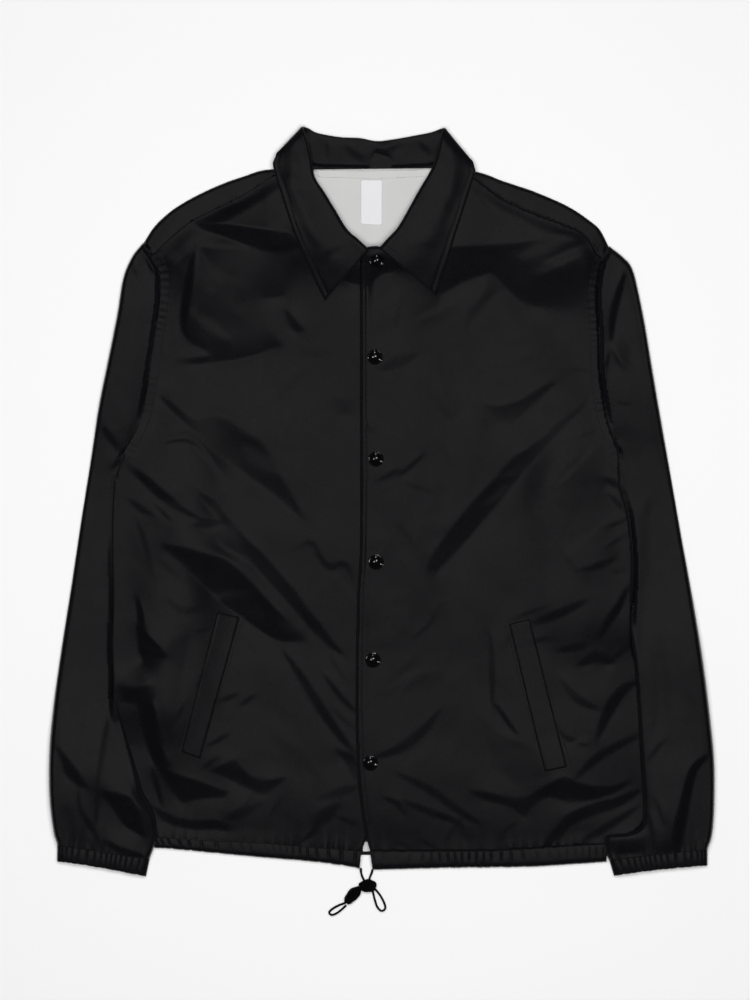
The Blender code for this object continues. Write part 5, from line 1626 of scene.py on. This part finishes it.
@dataclass
class Pockets:
    """The slanted welts on the fronts."""

    rise: float = 0.0013
    least: float = 0.0009
    roll: tuple[float, float] = (1.6, 0.0009)
    seam: tuple[float, float] = (0.86, 0.965)

    def top(self, rim: np.ndarray, height: Heights) -> Heights:
        """The top of a welt that lies on a front."""
        def over(points: np.ndarray) -> np.ndarray:
            """The welt's height at chart points."""
            base = np.mean([height(points + np.array(step)) for step in WELT_STEPS], axis=0)
            return np.maximum(base + self.rise, height(points) + self.least) - rolled(points, rim, *self.roll)

        return over

    def build(self, body: Body) -> None:
        """Makes a welt on each front."""
        for (front, height), corners in zip(body.fronts(), (WELT_RIGHT, WELT_LEFT)):
            outline = resampled(corners, 2.0)
            middle = chart(corners).mean(axis=0)
            rim = ring_of(outline)
            seam = middle + (rim - middle) * np.array(self.seam)
            Panel(f"{front.side}_welt", outline, self.top(rim, height), NYLON, (f"welt_{front.side}",),
                  (0.0235, 0.152), (f"{front.side}_front",), step=2.2, wall=0.0008, seams=(seam,)).build()


@dataclass
class Snaps:
    """Six enamelled snap caps on the placket."""

    radius: float = 0.0080
    height: float = 0.0034
    sunk: float = 0.0002
    sides: int = 48
    profile: Chain = ((1.0, 0.0), (1.0, 0.10), (0.985, 0.22), (0.94, 0.32), (0.88, 0.30), (0.84, 0.33),
                      (0.76, 0.52), (0.64, 0.70), (0.48, 0.86), (0.30, 0.95), (0.12, 0.995))

    @staticmethod
    def caps() -> bpy.types.Collection:
        """The collection that the small lamps shine on, made once."""
        return bpy.data.collections.get("snap_caps") or bpy.data.collections.new("snap_caps")

    def build(self, body: Body) -> None:
        """Makes the caps, domed over a rolled rim."""
        turns = np.linspace(0, 2 * math.pi, self.sides, endpoint=False)
        column = np.arange(self.sides)
        after = (column + 1) % self.sides
        crown = len(self.profile) * self.sides
        last = crown - self.sides
        top = np.column_stack((last + column, last + after, np.full(self.sides, crown)))
        base = np.column_stack((after, column, np.full(self.sides, crown + 1)))
        faces = [*grid_faces(len(self.profile), self.sides, closed=True), *top, *base]
        for number, spot in enumerate(chart(SNAPS), start=1):
            seat = float(body.left_height(spot + np.array(SEAT_STEPS)).mean()) - self.sunk
            across, up, _ = in_metres(spot[None, :], np.zeros(1))[0]
            rings = [np.column_stack((across + self.radius * out * np.cos(turns),
                                      up + self.radius * out * np.sin(turns),
                                      np.full(self.sides, seat + self.height * lift)))
                     for out, lift in self.profile]
            places = np.vstack(rings + [[(across, up, seat + self.height)], [(across, up, seat)]])
            piece = mesh_object(f"snap_cap_{number}", places, faces)
            finished(piece, ENAMEL, f"snap_{number}")
            self.caps().objects.link(piece)


@dataclass(frozen=True)
class Knot:
    """A tied knot: turns of cord wound over each other round a solid's middle."""

    name: str
    node: str
    half: tuple[float, float]
    swing: float = 0.0

    def build(self) -> bpy.types.Object:
        """Makes the knot."""
        low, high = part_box(self.node)
        centre = (low + high) / 2
        piece = ball(48, 28)
        piece.name = piece.data.name = self.name
        x, y, z = np.array([vert.co[:] for vert in piece.data.vertices]).T
        around = np.arctan2(y, x)
        turns = 0.10 * np.abs(np.sin(1.5 * around + 3.4 * z)) + 0.05 * np.sin(5 * around - 4 * z)
        wide, long = self.half
        across, along = x * wide * (0.9 + turns), y * long * (0.9 + turns)
        up = z * ((high - low) / 2).z * (0.92 + turns * 0.5)
        cos, sin = math.cos(math.radians(self.swing)), math.sin(math.radians(self.swing))
        places = np.column_stack((across * cos - along * sin + centre.x,
                                  across * sin + along * cos + centre.y, np.maximum(up + centre.z, 0.0001)))
        piece.data.vertices.foreach_set("co", places.ravel())
        piece.data.update()
        piece.data.shade_smooth()
        return finished(piece, BRAID, self.node)


@dataclass
class Drawcord:
    """The drawcord's free ends, with their knots and loops."""

    diameter: float = 0.0022
    parts: int = 4
    main: Knot = Knot("drawcord_knot", "knot_main", (0.0093, 0.0069))
    tail: Knot = Knot("drawcord_tail_knot", "knot_tail", (0.0060, 0.0115), -42.0)

    def tube(self, name: str, places: np.ndarray) -> bpy.types.Object:
        """A round cord through places."""
        curve = bpy.data.curves.new(name, "CURVE")
        curve.dimensions = "3D"
        curve.bevel_depth = self.diameter / 2
        curve.bevel_resolution = 4
        curve.use_fill_caps = True
        spline = curve.splines.new("POLY")
        spline.points.add(len(places) - 1)
        for spot, place in zip(spline.points, places):
            spot.co = (*place, 1.0)
        return linked(name, curve)

    def build(self) -> None:
        """Makes both ends and their knots."""
        knots = [self.main.build(), self.tail.build()]
        for side, route, tied in (("right", CORD_RIGHT, knots), ("left", CORD_LEFT, [])):
            line = smooth_rows(chart(route), [self.parts] * (len(route) - 1))
            piece = finished(self.tube(f"{side}_drawcord", in_metres(line[:, :2], line[:, 2])), BRAID,
                             f"drawcord_{side}", f"loop_{side}")
            points = np.array([tuple(spot.co)[:3] for spot in piece.data.splines[0].points])
            round(float(length_of(points)), 3)
            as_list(tied)


@dataclass
class Stitching:
    """Rows of small stitches on the cloth."""

    pitch: float = 3.0
    size: tuple[float, float, float] = (0.0011, 0.00026, 0.00022)
    # How far a stitch's middle is over the cloth, on the body and on the collar
    proud: tuple[float, float] = (0.0002, 0.0001)
    welt_grow: tuple[float, float] = (1.16, 1.025)
    casing_in: float = 2.2

    def row(self, line: np.ndarray, heights: np.ndarray) -> np.ndarray:
        """One row's stitches.

        Args:
            line: The row's chart points.
            heights: Their heights in metres.

        Returns:
            The middle and the direction of each stitch.
        """
        places = in_metres(line, heights)
        lengths = np.concatenate(([0.0], np.cumsum(np.linalg.norm(np.diff(places, axis=0), axis=1))))
        stops = np.arange(0.5, lengths[-1] / (self.pitch * UNIT)) * self.pitch * UNIT
        middle, ahead = (np.column_stack([np.interp(at, lengths, places[:, axis]) for axis in range(3)])
                         for at in (stops, stops + 0.0008))
        return np.stack((middle, ahead - middle), axis=1)

    def build(self, name: str, rows: Sequence[np.ndarray]) -> bpy.types.Object:
        """Joins rows of stitches into one piece.

        Args:
            name: The piece's name.
            rows: Middles and directions of each row's stitches.

        Returns:
            The piece.
        """
        model = ball(6, 4)
        shape = np.array([vert.co[:] for vert in model.data.vertices])[:, [2, 0, 1]] * np.array(self.size)
        faces = [tuple(face.vertices) for face in model.data.polygons]
        bpy.data.objects.remove(model, do_unlink=True)
        places, sides = [], []
        for middle, ahead in np.vstack(rows):
            run = ahead / max(float(np.linalg.norm(ahead)), 1e-9)
            left = np.cross((0.0, 0.0, 1.0), run)
            left /= max(float(np.linalg.norm(left)), 1e-9)
            count = len(places) * len(shape)
            places.append(middle + shape @ np.vstack((run, left, np.cross(run, left))))
            sides += [tuple(index + count for index in face) for face in faces]
        return finished(mesh_object(name, np.vstack(places), sides), THREAD)

    def sew_body(self, body: Body) -> None:
        """Sews the placket, the armholes' bands, round the welts and along the casing."""
        lines = [(body.placket_line, body.left_height)]
        lines += [(front.band_line(3), height) for front, height in body.fronts()]
        for (_, height), corners in zip(body.fronts(), (WELT_RIGHT, WELT_LEFT)):
            outline = resampled(corners, 2.0)
            middle = outline.mean(axis=0)
            lines.append((middle + (ring_of(outline) - middle) * np.array(self.welt_grow), height))
        for front, height in body.fronts():
            lines.append((rounded(front.casing_points, 4.0)[1:-1] - np.array([0.0, self.casing_in]), height))
        self.build("body_stitches", [self.row(line, height(line) + self.proud[0]) for line, height in lines])

    def sew_collar(self, collar: Collar, sections: np.ndarray) -> None:
        """Sews along the leaves' edges and across their points.

        Args:
            collar: The collar.
            sections: Its sections' places.
        """
        inset = sections.shape[1] - 7
        across = slice(collar.stand_rows + collar.bend_rows, inset)
        lines = [sections[4:74, inset], sections[-74:-4, inset]]
        for near, far in ((0, 9), (-1, -10)):
            lines.append(sections[near, across] * 0.5 + sections[far, across] * 0.5)
        self.build("collar_stitches",
                   [self.row(on_chart(line), line[:, 2] + self.proud[1]) for line in lines])


@dataclass(frozen=True)
class SoftLight:
    """A square soft light that looks down."""

    name: str
    spot: tuple[float, float, float]
    size: float
    power: float
    mirrored: bool  # Whether glossy surfaces show it

    def build(self) -> None:
        """Makes the light."""
        data = bpy.data.lights.new(self.name, "AREA")
        data.shape = "SQUARE"
        data.size = self.size
        data.energy = self.power
        lamp = linked(self.name, data)
        lamp.location = self.spot
        lamp.visible_glossy = self.mirrored
        lamp.visible_camera = False


@dataclass(frozen=True)
class Studio:
    """The floor, the lights and the camera straight above."""

    distance: float = 16.0
    middle_height: float = 0.006
    sensor: float = 36.0
    frame_height: float = 1000.0
    frame_middle: tuple[float, float] = (375.0, 500.0)
    lights: tuple[SoftLight, ...] = (SoftLight("key", (0.0, 0.1, 2.4), 2.6, 79.0, False),
                                     SoftLight("overhead", (-0.4, 3.75, 24.0), 10.5, 140.0, True))
    lamp_spots: Sequence[tuple[float, float, float]] = ((-0.9, 0.1, 3.0), (-0.1, 2.1, 1.6), (1.5, -0.7, 1.0),
                                                        (0.2, 0.5, 3.0))
    lamp_power: float = 70.0
    lamp_radius: float = 0.15
    horizon: tuple[float, float] = (0.20, 0.02)  # How bright the walls are, and the ceiling
    # The height of a direction where the walls start to darken, and where the ceiling is
    wall_top: tuple[float, float] = (0.12, 0.45)
    floor_size: float = 12.0
    floor_drop: float = 0.0006
    paint: float = 0.92

    def build(self) -> None:
        """Makes the studio."""
        self.floor()
        for light in self.lights:
            light.build()
        self.lamps()
        self.surroundings()
        bpy.context.scene.view_settings.view_transform = "Standard"
        data = bpy.data.cameras.new("camera")
        camera = linked("camera", data)
        x, y, _ = in_metres(chart([self.frame_middle]), np.zeros(1))[0]
        camera.location = (x, y, self.distance + self.middle_height)
        data.sensor_width = self.sensor
        data.lens = self.sensor * self.distance / (self.frame_height * UNIT)
        bpy.context.scene.camera = camera

    def surroundings(self) -> None:
        """Makes pale walls all round under a dark ceiling."""
        world = bpy.data.worlds.new("studio")
        bpy.context.scene.world = world
        world.use_nodes = True
        tree = world.node_tree
        apart = tree.nodes.new("ShaderNodeSeparateXYZ")
        tree.links.new(tree.nodes.new("ShaderNodeTexCoord").outputs["Generated"], apart.inputs["Vector"])
        share = tree.nodes.new("ShaderNodeMapRange")
        share.interpolation_type = "SMOOTHSTEP"
        for name, value in zip(("From Min", "From Max", "To Min", "To Max"), self.wall_top + self.horizon):
            share.inputs[name].default_value = value
        tree.links.new(apart.outputs["Z"], share.inputs["Value"])
        tree.links.new(share.outputs["Result"], tree.nodes["Background"].inputs["Strength"])
        tree.nodes["Background"].inputs["Color"].default_value = (1.0, 1.0, 1.0, 1.0)

    def floor(self) -> None:
        """Makes a plain pale floor."""
        bpy.ops.object.select_all(action="DESELECT")
        bpy.ops.mesh.primitive_plane_add(size=self.floor_size, location=(0.0, 0.0, -self.floor_drop))
        floor = bpy.context.object
        floor.name = "floor"
        made = bpy.data.materials.new("floor_paint")
        made.use_nodes = True
        shader = made.node_tree.nodes["Principled BSDF"]
        shader.inputs["Base Color"].default_value = (self.paint, self.paint, self.paint, 1.0)
        shader.inputs["Roughness"].default_value = 0.9
        shader.inputs["Specular IOR Level"].default_value = 0.1
        floor.data.materials.append(made)

    def lamps(self) -> None:
        """Makes small lamps that show as points in the snap caps."""
        for number, spot in enumerate(self.lamp_spots):
            data = bpy.data.lights.new(f"lamp_{number}", "POINT")
            data.shadow_soft_size = self.lamp_radius
            data.energy = self.lamp_power
            lamp = linked(f"lamp_{number}", data)
            lamp.location = spot
            lamp.visible_diffuse = False
            lamp.light_linking.receiver_collection = Snaps.caps()


def main() -> None:
    """Builds the jacket's pieces in order and the studio round them."""
    logging.basicConfig(level=logging.INFO, format="%(name)s: %(message)s")
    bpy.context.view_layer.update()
    Studio().build()
    Drawcord().build()
    body = Body()
    body.build()
    for cut, (front, height) in zip(SLEEVE_CUTS, body.fronts()):
        Sleeve(cut, body, front, height).build()
    collar = Collar(body)
    sections = collar.build()
    Neck().build()
    Pockets().build(body)
    Snaps().build(body)
    stitching = Stitching()
    stitching.sew_body(body)
    stitching.sew_collar(collar, sections)
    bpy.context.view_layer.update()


if __name__ == "__main__":
    main()
